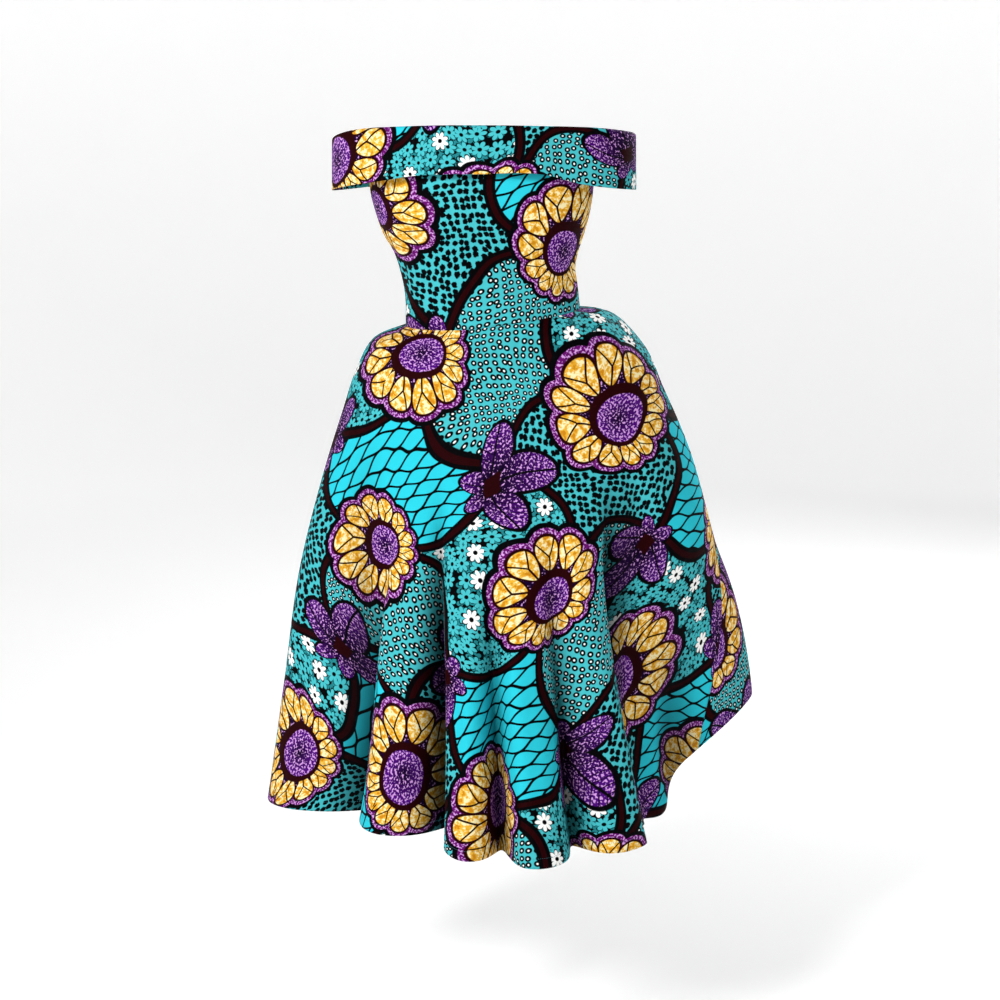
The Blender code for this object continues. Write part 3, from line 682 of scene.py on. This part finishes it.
def directions(surface, angle, run):
    """Outward directions of a surface, and the speed of its points along the angle."""
    along = (surface(angle + STEP, run) - surface(angle - STEP, run)) / (2 * STEP)
    low, high = np.clip(run - STEP, 0, 1), np.clip(run + STEP, 0, 1)
    down = surface(angle, high) - surface(angle, low)
    out = np.cross(down, along)
    outward = round_point(0, 1, angle, np.zeros_like(angle))
    out = out * np.sign(np.sum(out * outward, -1, keepdims=True))
    return unit(out), np.linalg.norm(along, axis=-1)


def crease_depth(creases, angle, run):
    """How far the small creases go in, at each angle and run."""
    total = np.zeros(np.broadcast(angle, run).shape)
    for crease in creases:
        along = run - crease.run
        off = turned(angle, crease.angle + crease.lean * along) / crease.width
        total = total + crease.depth * np.exp(-off ** 2 - (along / crease.length) ** 2)
    return total


def flat_cut(points, top_radius, upward=1):
    """Flat places of a panel's points: its rows lie on arcs and its columns run outward."""
    down = np.linalg.norm(np.diff(points, axis=0), axis=-1)
    radius = top_radius + np.vstack([np.zeros(points.shape[1]), np.cumsum(down, axis=0)])
    along = np.linalg.norm(np.diff(points, axis=1), axis=-1)
    turn = along / ((radius[:, 1:] + radius[:, :-1]) / 2)
    turn = np.hstack([np.zeros((len(points), 1)), np.cumsum(turn, axis=1)])
    turn = turn - turn[:, points.shape[1] // 2][:, None]
    return np.stack([radius * np.sin(turn), upward * radius * np.cos(turn)], -1)


def cut_area(flat):
    """Area of a flat panel, from its grid of places."""
    one, two = flat[1:, 1:] - flat[:-1, :-1], flat[1:, :-1] - flat[:-1, 1:]
    return float(np.abs(one[..., 0] * two[..., 1] - one[..., 1] * two[..., 0]).sum() / 2)


def grid_index(place, count):
    """Which of `count` grid lines lies at a place between -1 and 1."""
    return round((place + 1) / 2 * (count - 1))


def sheets(name, grids, thickness, finish):
    """One object of thin sheets, each on a grid of points, with flat places and painted fold
    shade.
    """
    shape = bmesh.new()
    place = shape.verts.layers.int.new("place")
    # Painted fold shade, stored at each point for the material to read.
    painted_shade = shape.verts.layers.float.new("painted_fold_shade")
    printed = shape.loops.layers.uv.new("cloth")
    for points, flat, fold_shades in grids:
        rows, columns = points.shape[:2]
        places, cuts, fold_shades = points.reshape(-1, 3), flat.reshape(-1, 2), fold_shades.ravel()
        made = bmesh.ops.create_grid(shape, x_segments=columns - 1, y_segments=rows - 1, size=1)
        for vert in made["verts"]:
            vert[place] = grid_index(vert.co.y, rows) * columns + grid_index(vert.co.x, columns)
            vert.co = places[vert[place]]
            vert[painted_shade] = fold_shades[vert[place]]
        for face in {face for vert in made["verts"] for face in vert.link_faces}:
            for loop in face.loops:
                loop[printed].uv = cuts[loop.vert[place]]
    shape.verts.layers.int.remove(place)
    made = finished(name, shape, finish)
    solid = made.modifiers.new("thickness", "SOLIDIFY")
    solid.thickness, solid.offset = thickness, 0
    return made


def finished(name, shape, finish, body="dress"):
    """Turn a bmesh into a piece that rides on a body."""
    mesh = bpy.data.meshes.new(name)
    shape.to_mesh(mesh)
    shape.free()
    mesh.shade_smooth()
    mesh.materials.append(finish)
    made = bpy.data.objects.new(name, mesh)
    bpy.context.collection.objects.link(made)
    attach(made, body)
    return made


def cloth(name, grid, thickness, node):
    """A printed sheet in place of its CAD node."""
    made = sheets(name, [grid], thickness, wax_print)
    flat = grid[1]
    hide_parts(node)
    cut_area(flat)


def edge_angles(surface, runs, side, opening):
    """Angle of a panel's edge, held back from its seam at `side` by half the opening."""
    return opening / 2 / directions(surface, np.full_like(runs, side), runs)[1]


def across(first, last, shares):
    """Angles from the first column's to the last's; both may change from row to row."""
    return first[:, None] + (last - first)[:, None] * shares


def even(columns):
    """Shares of the way across that are evenly spaced in angle."""
    return np.linspace(0, 1, columns + 1)


def far_along(points):
    """How far along a line of points each of them lies."""
    return np.concatenate([[0], np.cumsum(np.linalg.norm(np.diff(points, axis=0), axis=1))])


def along_hem(start, end, columns):
    """Shares of the way across that are evenly spaced along the skirt's hem, folds and all."""
    share = even(HEM_SAMPLES * columns)
    far = far_along(skirt_point(start + (end - start) * share, np.ones_like(share)))
    return np.interp(even(columns) * far[-1], far, share)


def columns_of(values, count):
    """So many columns, each with the given values."""
    return np.repeat(values[:, None], count, axis=1)


def panel_grid(surface, runs, panel):
    """Angles and runs of a panel's grid, from one of its seams to the other."""
    first = panel.start + edge_angles(surface, runs, panel.start, panel.gaps[0](runs))
    last = panel.end - edge_angles(surface, runs, panel.end, panel.gaps[1](runs))
    return across(first, last, panel.shares), columns_of(runs, len(panel.shares))


def zip_gap(runs):
    """Opening between the centre-back edges: wide along the zip, a seam below it."""
    closed = ease((runs - ZIP_FOOT) / ZIP_FADE)
    return ZIP_OPENING + (SEAM_GAP - ZIP_OPENING) * closed


def skirt_inward(angle, run):
    """How far the skirt's small creases go in; none can move the waist seam."""
    return crease_depth(SKIRT_CREASES, angle, run) * ease(run / SEAM_HOLD)


def laid(surface, inward, angle, run, behind=0.0):
    """Points of a layer: the cloth's outer face lies on the wall's, or so far behind it."""
    out = directions(surface, angle, run)[0]
    rise = (WALL - CLOTH) / 2 - behind - inward(angle, run)
    return surface(angle, run) + out * rise[..., None]


def between_runs(runs, low, high):
    """The runs of a panel's rows from one run to another."""
    return np.concatenate([[low], runs[(runs > low + STEP) & (runs < high - STEP)], [high]])


def turned_edges(body, panel):
    """Turned-in edges inside a panel: along its first and last rows, and down its sides."""
    behind = (CLOTH + TURNING) / 2 + LAYER_GAP
    first, last = body.turned
    grids = [panel_grid(body.surface, between_runs(body.runs, *ends), panel)
             for ends in ((STEP, first - STEP), (last + STEP, 1 - STEP))]
    sides = between_runs(body.runs, first, last)
    widths = np.linspace(0, SIDE_TURNING, SIDE_COLUMNS)
    for seam, gap, way in ((panel.start, panel.gaps[0], 1), (panel.end, panel.gaps[1], -1)):
        speed = directions(body.surface, np.full_like(sides, seam), sides)[1]
        offsets = gap(sides)[:, None] / 2 + widths
        grids.append((seam + way * offsets / speed[:, None], columns_of(sides, len(widths))))
    made = []
    for angle, run in grids:
        points = laid(body.surface, body.inward, angle, run, behind)
        made.append((points, flat_cut(points, body.radius) + panel.shift, np.zeros_like(run)))
    return sheets(panel.name + "_turnings", made, TURNING, wax_print)


def sewn_body(body, panels, painted_shade):
    """The cloths of a ring of panels, each with its turned-in edges."""
    for panel in panels:
        turnings = turned_edges(body, panel)
        angle, run = panel_grid(body.surface, body.runs, panel)
        points = laid(body.surface, body.inward, angle, run)
        # The third part of each grid is the painted fold shade at its points.
        grid = (points, flat_cut(points, body.radius, body.upward) + panel.shift,
                painted_shade(angle, run))
        cloth(panel.name + "_cloth", grid, CLOTH, panel.node)


WAIST_RADIUS = 0.246    # of the arc that the skirt's flat waist edge is cut to
TURNING = 0.0006        # the turned-in edges, a little behind the cloth
LAYER_GAP = 0.0002
SIDE_TURNING, SIDE_COLUMNS = 0.012, 3
HEM_RUN = 0.978         # run of the hem's turned-up edge
TURN_RUN = 0.017        # run of the waist's turned-in edge
QUARTER = math.pi / 2


def sewn(runs):
    """Opening of a sewn seam, at each run."""
    return np.full_like(runs, SEAM_GAP)


# A panel lies between two seams, with the openings `gaps`. A body's flat seam edge is cut to an
# arc of the given radius, and its end edges are turned in as far as the two runs `turned`.
Panel = namedtuple("Panel", "name node start end gaps shares shift")
SewnBody = namedtuple("SewnBody", "surface inward runs radius upward turned")
SKIRT_PANELS = (
    Panel("front_skirt", "skirt_front", -QUARTER, QUARTER, (sewn, sewn),
          along_hem(-QUARTER, QUARTER, SKIRT_COLUMNS), (0.000, 0.000)),
    Panel("left_back_skirt", "skirt_back_left", QUARTER, 2 * QUARTER, (sewn, zip_gap),
          along_hem(QUARTER, 2 * QUARTER, SKIRT_COLUMNS // 2), (1.310, 0.120)),
    Panel("right_back_skirt", "skirt_back_right", 2 * QUARTER, 3 * QUARTER, (zip_gap, sewn),
          along_hem(2 * QUARTER, 3 * QUARTER, SKIRT_COLUMNS // 2), (2.170, 0.440)),
)
skirt = SewnBody(skirt_point, skirt_inward, np.linspace(0, 1, SKIRT_ROWS + 1) ** ROW_CROWDING,
                 WAIST_RADIUS, -1, (TURN_RUN, HEM_RUN - STEP))
sewn_body(skirt, SKIRT_PANELS, painted_fold_shade)

# ------------------------------------------------------------------ Bodice
# A fitted front and two backs of the same cotton, sewn at the sides and to the skirt at the
# waist, and open down the centre back for the zip. Slight drag lines run from the bust.
BODICE_ROWS, BODICE_COLUMNS = 56, 120
WAIST_HOLD, COLLAR_HOLD = 0.10, 0.12    # runs within which the seams hold the cloth smooth
BODICE = (
    WAIST,
    Section(0.20, -0.118, 0.121, -0.093, 0.086, 0.050, 0.064, 0.056, 0.060, 2.2),
    Section(0.33, -0.124, 0.118, -0.099, 0.089, 0.081, 0.085, 0.087, 0.085, 2.3),
    Section(0.45, -0.133, 0.122, -0.108, 0.094, 0.108, 0.107, 0.117, 0.112, 2.4),
    Section(0.56, -0.146, 0.129, -0.117, 0.098, 0.130, 0.129, 0.144, 0.138, 2.5),
    Section(0.70, -0.157, 0.137, -0.123, 0.102, 0.161, 0.159, 0.178, 0.172, 2.6),
    Section(0.86, -0.165, 0.142, -0.121, 0.105, 0.196, 0.193, 0.216, 0.210, 2.6),
    Section(1.00, -0.164, 0.143, -0.115, 0.105, 0.228, 0.225, 0.250, 0.245, 2.6),
)
BODICE_CREASES = (
    Crease(-70, 0.34, 60, 0.09, 5.0, 0.0022), Crease(-52, 0.24, 90, 0.10, 5.0, 0.0018),
    Crease(-38, 0.46, -80, 0.10, 5.5, 0.0016), Crease(-18, 0.16, 30, 0.12, 4.0, 0.0014),
    Crease(-4, 0.56, 0, 0.16, 7.0, 0.0022), Crease(8, 0.10, -20, 0.08, 3.0, 0.0018),
    Crease(24, 0.20, -60, 0.10, 4.5, 0.0018), Crease(40, 0.44, 90, 0.10, 5.5, 0.0016),
    Crease(58, 0.26, -90, 0.10, 5.0, 0.0020), Crease(72, 0.36, -60, 0.09, 5.0, 0.0022),
    Crease(106, 0.30, -60, 0.10, 5.0, 0.0022), Crease(128, 0.18, -40, 0.10, 4.5, 0.0018),
    Crease(150, 0.32, 40, 0.12, 5.0, 0.0018), Crease(210, 0.30, -40, 0.12, 5.0, 0.0018),
    Crease(232, 0.18, 40, 0.10, 4.5, 0.0020), Crease(254, 0.32, 60, 0.10, 5.0, 0.0022),
)


def bodice_point(angle, run):
    """Middle of the bodice's wall."""
    return on_body(BODICE, angle, run)


def bodice_inward(angle, run):
    """How far the bodice's drag lines go in; none moves the waist or the collar seam."""
    held = ease(run / WAIST_HOLD) * ease((1 - run) / COLLAR_HOLD)
    return crease_depth(BODICE_CREASES, angle, run) * held


def zipped(runs):
    """Opening along the zip, at each run."""
    return np.full_like(runs, ZIP_OPENING)


def unshaded(angle, run):
    """No part of the bodice lies deep in a fold, so none of it gets painted fold shade."""
    return np.zeros_like(run)


BODICE_RADIUS = 0.92    # of the arc that the bodice's flat waist edge is cut to
BODICE_TURN_RUN = 0.05  # run of the waist's turned-in edge
BODICE_TOP_RUN = 0.95   # run of the top's turned-in edge
BODICE_PANELS = (
    Panel("front_bodice", "bodice_front", -QUARTER, QUARTER, (sewn, sewn),
          even(BODICE_COLUMNS), (0.060, -0.480)),
    Panel("left_back_bodice", "bodice_back_left", QUARTER, 2 * QUARTER, (sewn, zipped),
          even(BODICE_COLUMNS // 2), (0.710, 0.330)),
    Panel("right_back_bodice", "bodice_back_right", 2 * QUARTER, 3 * QUARTER, (zipped, sewn),
          even(BODICE_COLUMNS // 2), (1.420, 0.830)),
)
bodice = SewnBody(bodice_point, bodice_inward, np.linspace(0, 1, BODICE_ROWS + 1),
                  BODICE_RADIUS, 1, (BODICE_TURN_RUN, BODICE_TOP_RUN))
sewn_body(bodice, BODICE_PANELS, unshaded)

# ------------------------------------------------------------------ Collar
# A wide band of two layers of the same cotton, sewn to the bodice's top edge and folded over
# to the outside. It runs off the shoulders, round the upper arms, and ends at the zip.
ARM_LEFT, ARM_RIGHT, ARM_FRONT, ARM_BACK, ARM_SQUARE = -0.206, 0.190, -0.112, 0.102, 2.2
LEAVES_BODICE, ROUND_THE_ARM = 0.60, 0.88   # sine of the angle where the band parts and is free
LEG_LIFT = 0.008        # the inner leg's free edge above the bodice's, over the arms
FOLD_RADIUS = 0.005     # middle of the wall where the collar turns over
LEG_SPLAY = 0.001       # how far the inner leg leans out
SPLAY_CURVE, WAVE_CURVE = 1.2, 1.5      # the fall leans out, and waves, more towards its edge
COLLAR_END_CUT = 0.014  # slant of the centre-back ends, at the lower edge
BAND = 0.0014           # the two layers together
COLLAR_COLUMNS = 160
Collar = namedtuple("Collar", "angle top fall splay")
COLLAR = (
    Collar(-90, 0.264, 0.191, 0.001), Collar(-66, 0.276, 0.202, 0.004),
    Collar(-40, 0.280, 0.214, 0.009), Collar(0, 0.281, 0.217, 0.010),
    Collar(36, 0.280, 0.216, 0.009), Collar(60, 0.278, 0.200, 0.005),
    Collar(90, 0.270, 0.192, 0.001), Collar(135, 0.273, 0.199, 0.008),
    Collar(180, 0.272, 0.206, 0.011), Collar(225, 0.272, 0.199, 0.008),
)

# Soft waves of the fall: middle, half-width in degrees, and depth inward at the lower edge.
Wave = namedtuple("Wave", "angle width depth")
COLLAR_WAVES = (
    Wave(-74, 5.0, 0.0018), Wave(-52, 7.0, -0.0016), Wave(-31, 5.0, 0.0020),
    Wave(-12, 6.0, -0.0014), Wave(9, 4.5, 0.0018), Wave(27, 6.5, -0.0016),
    Wave(46, 5.0, 0.0020), Wave(69, 6.0, -0.0012), Wave(104, 6.0, 0.0018),
    Wave(126, 5.0, -0.0016), Wave(147, 6.0, 0.0018), Wave(211, 6.0, 0.0018),
    Wave(233, 5.0, -0.0016), Wave(256, 6.0, 0.0016),
)


def parted(angle):
    """0 where the band is sewn to the bodice, 1 where it is free round an arm."""
    return ease((np.abs(np.sin(angle)) - LEAVES_BODICE) / (ROUND_THE_ARM - LEAVES_BODICE))


def collar_ring(angle):
    """Foot of the collar's inner leg: on the bodice's edge, then out round the arms."""
    top = BODICE[-1]
    middle = (top.left + top.right) / 2
    edge = bodice_point(angle, np.ones_like(angle))
    side = np.where(np.sin(angle) < 0, middle - ARM_LEFT, ARM_RIGHT - middle)
    reach = oval(angle, side, ARM_FRONT, ARM_BACK, ARM_SQUARE)
    lift = edge[..., 2] + SEAM_GAP + LEG_LIFT * parted(angle)
    free = round_point(middle, reach, angle, lift)
    edge[..., 2] = lift
    return edge + (free - edge) * parted(angle)[..., None]


def collar_point(angle, along):
    """Middle of the collar's wall: 0 to 1 up the inner leg, to 2 over the fold, to 3 down."""
    top, fall, splay = (round_body(COLLAR, name, angle) for name in ("top", "fall", "splay"))
    crown = top - WALL / 2 - FOLD_RADIUS
    up, turn, down = np.clip(along, 0, 1), np.clip(along - 1, 0, 1), np.clip(along - 2, 0, 1)
    foot = collar_ring(angle)
    run = collar_ring(angle + STEP) - collar_ring(angle - STEP)
    outward = unit(np.stack([run[..., 1], -run[..., 0], np.zeros_like(angle)], -1))
    waved = sum(wave.depth * np.exp(-(turned(angle, wave.angle) / wave.width) ** 2)
                for wave in COLLAR_WAVES)
    offset = (LEG_SPLAY * up + FOLD_RADIUS * (1 - np.cos(math.pi * turn))
              + splay * down ** SPLAY_CURVE - waved * down ** WAVE_CURVE)
    rise = (crown - foot[..., 2]) * up + FOLD_RADIUS * np.sin(math.pi * turn)
    point = foot + outward * offset[..., None]
    point[..., 2] += rise - (crown - fall) * down
    return point


COLLAR_RADIUS = 4.0     # nearly straight: of the arc that the band is cut to
LEG_ROWS, BEND_ROWS, FALL_ROWS = 12, 14, 24
along_band = np.concatenate([np.linspace(0, 1, LEG_ROWS + 1),
                             np.linspace(1, 2, BEND_ROWS + 1)[1:],
                             np.linspace(2, 3, FALL_ROWS + 1)[1:]])
CollarPanel = namedtuple("CollarPanel", "name node start end cuts columns shift")
COLLAR_PANELS = (
    CollarPanel("front_collar_cloth", "collar_front", -QUARTER, QUARTER, (0, 0),
                COLLAR_COLUMNS, (0.400, 4.590)),
    CollarPanel("left_back_collar_cloth", "collar_back_left", QUARTER, 2 * QUARTER,
                (0, COLLAR_END_CUT), COLLAR_COLUMNS // 2, (1.070, 4.210)),
    CollarPanel("right_back_collar_cloth", "collar_back_right", 2 * QUARTER, 3 * QUARTER,
                (COLLAR_END_CUT, 0), COLLAR_COLUMNS // 2, (0.830, 4.840)),
)
for panel in COLLAR_PANELS:
    ends = np.array([panel.start, panel.end])
    speed = np.linalg.norm(collar_ring(ends + STEP) - collar_ring(ends), axis=-1) / STEP
    slant = np.clip((along_band - 1) / 2, 0, 1)
    angle = across(panel.start + (SEAM_GAP / 2 + panel.cuts[0] * slant) / speed[0],
                   panel.end - (SEAM_GAP / 2 + panel.cuts[1] * slant) / speed[1],
                   even(panel.columns))
    along = columns_of(along_band, panel.columns + 1)
    points = collar_point(angle, along)
    grid = points, flat_cut(points, COLLAR_RADIUS, -1) + panel.shift, unshaded(angle, along)
    cloth(panel.name, grid, BAND, panel.node)

# ------------------------------------------------------------------ Stitching
# Polyester thread in the ground's dark teal. A lockstitch holds the turned-up hem, and two rows
# hold the zip, with a bar across its foot.
STITCH_PITCH, STITCH_LENGTH = 0.0030, 0.0024
STITCH_HALF_WIDTH, STITCH_HALF_HEIGHT = 0.00026, 0.00020
STITCH_RAISE = 0.00012      # middle of a stitch above the cloth's outer face
HEM_STITCH_RUN = 0.981
ZIP_STITCH_SIDE = 0.0065    # from the centre back to a row of stitching
THREAD_COLOUR = (0.006, 0.110, 0.150, 1)
TWISTS, TWIST_RELIEF, THREAD_MATT = 2600.0, (0.5, 0.0001), (0.45, 0.65)
HEM_STEPS, ZIP_STEPS, FOOT_STEPS = 1440, 80, 8
TOP_RUN, ABOVE_WAIST, BELOW_WAIST = 0.99, 0.005, 0.004     # ends of the rows along the zip


def spun_thread():
    """Matt twisted thread."""
    made, start = new_material("sewing_thread", {"Base Color": THREAD_COLOUR})
    twist = start.place().noise(TWISTS, space="3D")
    twist.relief(*TWIST_RELIEF).feed("Normal")
    twist.span(*THREAD_MATT).feed("Roughness")
    return made


def read(at, far, values):
    """Rows of values that lie so far along a line, read at other distances."""
    return np.stack([np.interp(at, far, part) for part in values.T], -1)


def frames(points, outs, pitch):
    """A matrix every pitch along a line: X along the line, Z out of the cloth."""
    far = far_along(points)
    at = np.arange(pitch / 2, far[-1], pitch)
    along = unit(read(at + STEP, far, points) - read(at - STEP, far, points))
    out = read(at, far, outs)
    out = unit(out - along * np.sum(out * along, axis=1, keepdims=True))
    for point, x, z in zip(read(at, far, points), along, out):
        columns = (x, np.cross(z, x), z, point)
        yield Matrix([[*row] for row in zip(*columns)] + [[0, 0, 0, 1]])


def stitched(name, lines):
    """Rows of stitches along lines on the cloth's outer face."""
    shape = bmesh.new()
    grain = Matrix.Diagonal((STITCH_LENGTH / 2, STITCH_HALF_WIDTH, STITCH_HALF_HEIGHT, 1))
    for points, outs in lines:
        for place in frames(points, outs, STITCH_PITCH):
            bmesh.ops.create_icosphere(shape, subdivisions=1, radius=1, matrix=place @ grain)
    return finished(name, shape, thread)


def line_on(surface, inward, angle, run):
    """Points just proud of the cloth's outer face along a line, and its outward directions."""
    return (laid(surface, inward, angle, run, -CLOTH / 2 - STITCH_RAISE),
            directions(surface, angle, run)[0])


thread = spun_thread()
hem_angle = np.radians(np.linspace(-90, 270, HEM_STEPS + 1))
stitched("hem_stitching", [line_on(skirt_point, skirt_inward, hem_angle,
                                   np.full_like(hem_angle, HEM_STITCH_RUN))])
zip_rows = []
for way in (-1, 1):
    for surface, inward, ends in ((bodice_point, bodice_inward, (TOP_RUN, ABOVE_WAIST)),
                                  (skirt_point, skirt_inward, (BELOW_WAIST, ZIP_FOOT))):
        run = np.linspace(*ends, ZIP_STEPS)
        speed = directions(surface, np.full_like(run, math.pi), run)[1]
        zip_rows.append(line_on(surface, inward, math.pi + way * ZIP_STITCH_SIDE / speed, run))
foot_speed = directions(skirt_point, np.array([math.pi]), np.array([ZIP_FOOT]))[1]
foot_angle = math.pi + np.linspace(-1, 1, FOOT_STEPS + 1) * ZIP_STITCH_SIDE / foot_speed
zip_rows.append(line_on(skirt_point, skirt_inward, foot_angle,
                        np.full_like(foot_angle, ZIP_FOOT)))
stitched("zip_stitching", zip_rows)

# ------------------------------------------------------------------ Zip
# A nylon coil on twill tape behind the centre-back edges, with a brass-plated slider and pull
# tab at the top. Two clamped stops end the coil above the slider.
TOOTH_PITCH, TOOTH_LENGTH, TOOTH_RADIUS, TOOTH_SHIFT = 0.00085, 0.0019, 0.00040, 0.0002
TOOTH_BEHIND = 0.0008       # middle of the coil behind the middle of the wall
SLIDER_DROP, SLIDER_HEIGHT = 0.0075, 0.0085
STOP_SIZE, STOP_SIDE, STOP_DROP = (0.0016, 0.0014, 0.0026), 0.0012, 0.0016
TOOTH_SIDES = 7
METAL_BEVEL, BEVEL_STEPS = 0.00022, 2
CORNER_MERGE, FLAT_BEND = 1e-6, math.radians(1)     # what still counts as one point, or as flat
COIL_COLOUR = (0.010, 0.030, 0.036, 1)
TAPE_COLOUR, TAPE_SHADE = (0.012, 0.060, 0.075, 1), (0.006, 0.034, 0.044, 1)
BRASS, WORN_BRASS = (0.620, 0.430, 0.160, 1), (0.400, 0.260, 0.085, 1)
SKIN_SPOTS, SKIN_DETAIL, NYLON_MATT = 900.0, 2.0, (0.28, 0.48)
RUBBED_SPOTS, RUBBED_DETAIL, RUBBED_EDGE, BRASS_MATT = 420.0, 4.0, (0.35, 0.65), (0.22, 0.46)
RIB_PITCH, RIB_RELIEF, TAPE_MATT = 0.0011, (0.4, 0.0002), 0.85
COIL_STEPS = 90


def moulded_nylon():
    """Slightly glossy nylon with a faintly uneven skin."""
    made, start = new_material("zip_nylon", {"Base Color": COIL_COLOUR})
    skin = start.place().noise(SKIN_SPOTS, SKIN_DETAIL, space="3D")
    skin.span(*NYLON_MATT).feed("Roughness")
    return made


def twill_tape():
    """Woven tape: a fine diagonal rib, with painted shade where it is low."""
    made, start = new_material("zip_tape", {"Roughness": TAPE_MATT})
    across, _ = start.place().parts()
    height = across.other("Z")
    rib = ((across.math("ABSOLUTE") + height) * (FULL_TURN / RIB_PITCH)).math("SINE")
    # Painted shade: the rib's low parts take the darker colour.
    rib.rise(-1, 1).between(TAPE_SHADE, TAPE_COLOUR).feed("Base Color")
    rib.relief(*RIB_RELIEF).feed("Normal")
    return made


def plated_brass():
    """Brass plating, rubbed in places."""
    made, start = new_material("zip_metal", {"Metallic": 1.0})
    rubbed = start.place().noise(RUBBED_SPOTS, RUBBED_DETAIL, space="3D")
    rubbed.rise(*RUBBED_EDGE).between(WORN_BRASS, BRASS).feed("Base Color")
    rubbed.span(*BRASS_MATT).feed("Roughness")
    return made


def rounded_copy(name, node, body):
    """A metal piece in place of its CAD node: a merged copy with its corners rounded."""
    shape = bmesh.new()
    shape.from_mesh(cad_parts[node].data)
    bmesh.ops.remove_doubles(shape, verts=shape.verts, dist=CORNER_MERGE)
    bmesh.ops.dissolve_limit(shape, angle_limit=FLAT_BEND, verts=shape.verts,
                             edges=shape.edges)
    made = finished(name, shape, brass, body)
    bevel = made.modifiers.new("corners", "BEVEL")
    bevel.width, bevel.segments, bevel.limit_method = METAL_BEVEL, BEVEL_STEPS, "ANGLE"
    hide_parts(node)


brass, coil_nylon = plated_brass(), moulded_nylon()
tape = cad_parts["zip_tape"]
tape.material_slots[0].material = twill_tape()
rounded_copy("rounded_slider", "zip_slider", "dress")
rounded_copy("rounded_pull", "zip_pull", "pull_tab")

centre, outward = [], []
for surface, ends in ((bodice_point, (1, 0)), (skirt_point, (BELOW_WAIST, ZIP_FOOT))):
    runs = np.linspace(*ends, COIL_STEPS)
    back = np.full_like(runs, math.pi)
    out = directions(surface, back, runs)[0]
    centre.append(surface(back, runs) - out * TOOTH_BEHIND)
    outward.append(out)
centre, outward = np.concatenate(centre), np.concatenate(outward)
shape = bmesh.new()
lying = Matrix.Rotation(math.pi / 2, 4, "X")
clear = (SLIDER_DROP - SLIDER_HEIGHT / 2, SLIDER_DROP + SLIDER_HEIGHT / 2)
for count, place in enumerate(frames(centre, outward, TOOTH_PITCH)):
    if clear[0] < (count + 0.5) * TOOTH_PITCH < clear[1]:
        continue
    shift = Matrix.Translation((0, (-1) ** count * TOOTH_SHIFT, 0))
    bmesh.ops.create_cone(shape, cap_ends=True, segments=TOOTH_SIDES, radius1=TOOTH_RADIUS,
                          radius2=TOOTH_RADIUS, depth=TOOTH_LENGTH, matrix=place @ shift @ lying)
finished("zip_coil", shape, coil_nylon)

top = np.searchsorted(-centre[:, 2], -(centre[0, 2] - STOP_DROP))
shape = bmesh.new()
for side in (-1, 1):
    middle = centre[top] + (side * STOP_SIDE, 0, 0)
    bmesh.ops.create_cube(shape, size=1, matrix=Matrix.Translation(middle)
                          @ Matrix.Diagonal((*STOP_SIZE, 1)))
bmesh.ops.bevel(shape, geom=shape.edges[:], affect="EDGES", offset=METAL_BEVEL,
                segments=BEVEL_STEPS, profile=0.5, material=-1)
finished("zip_stops", shape, brass)
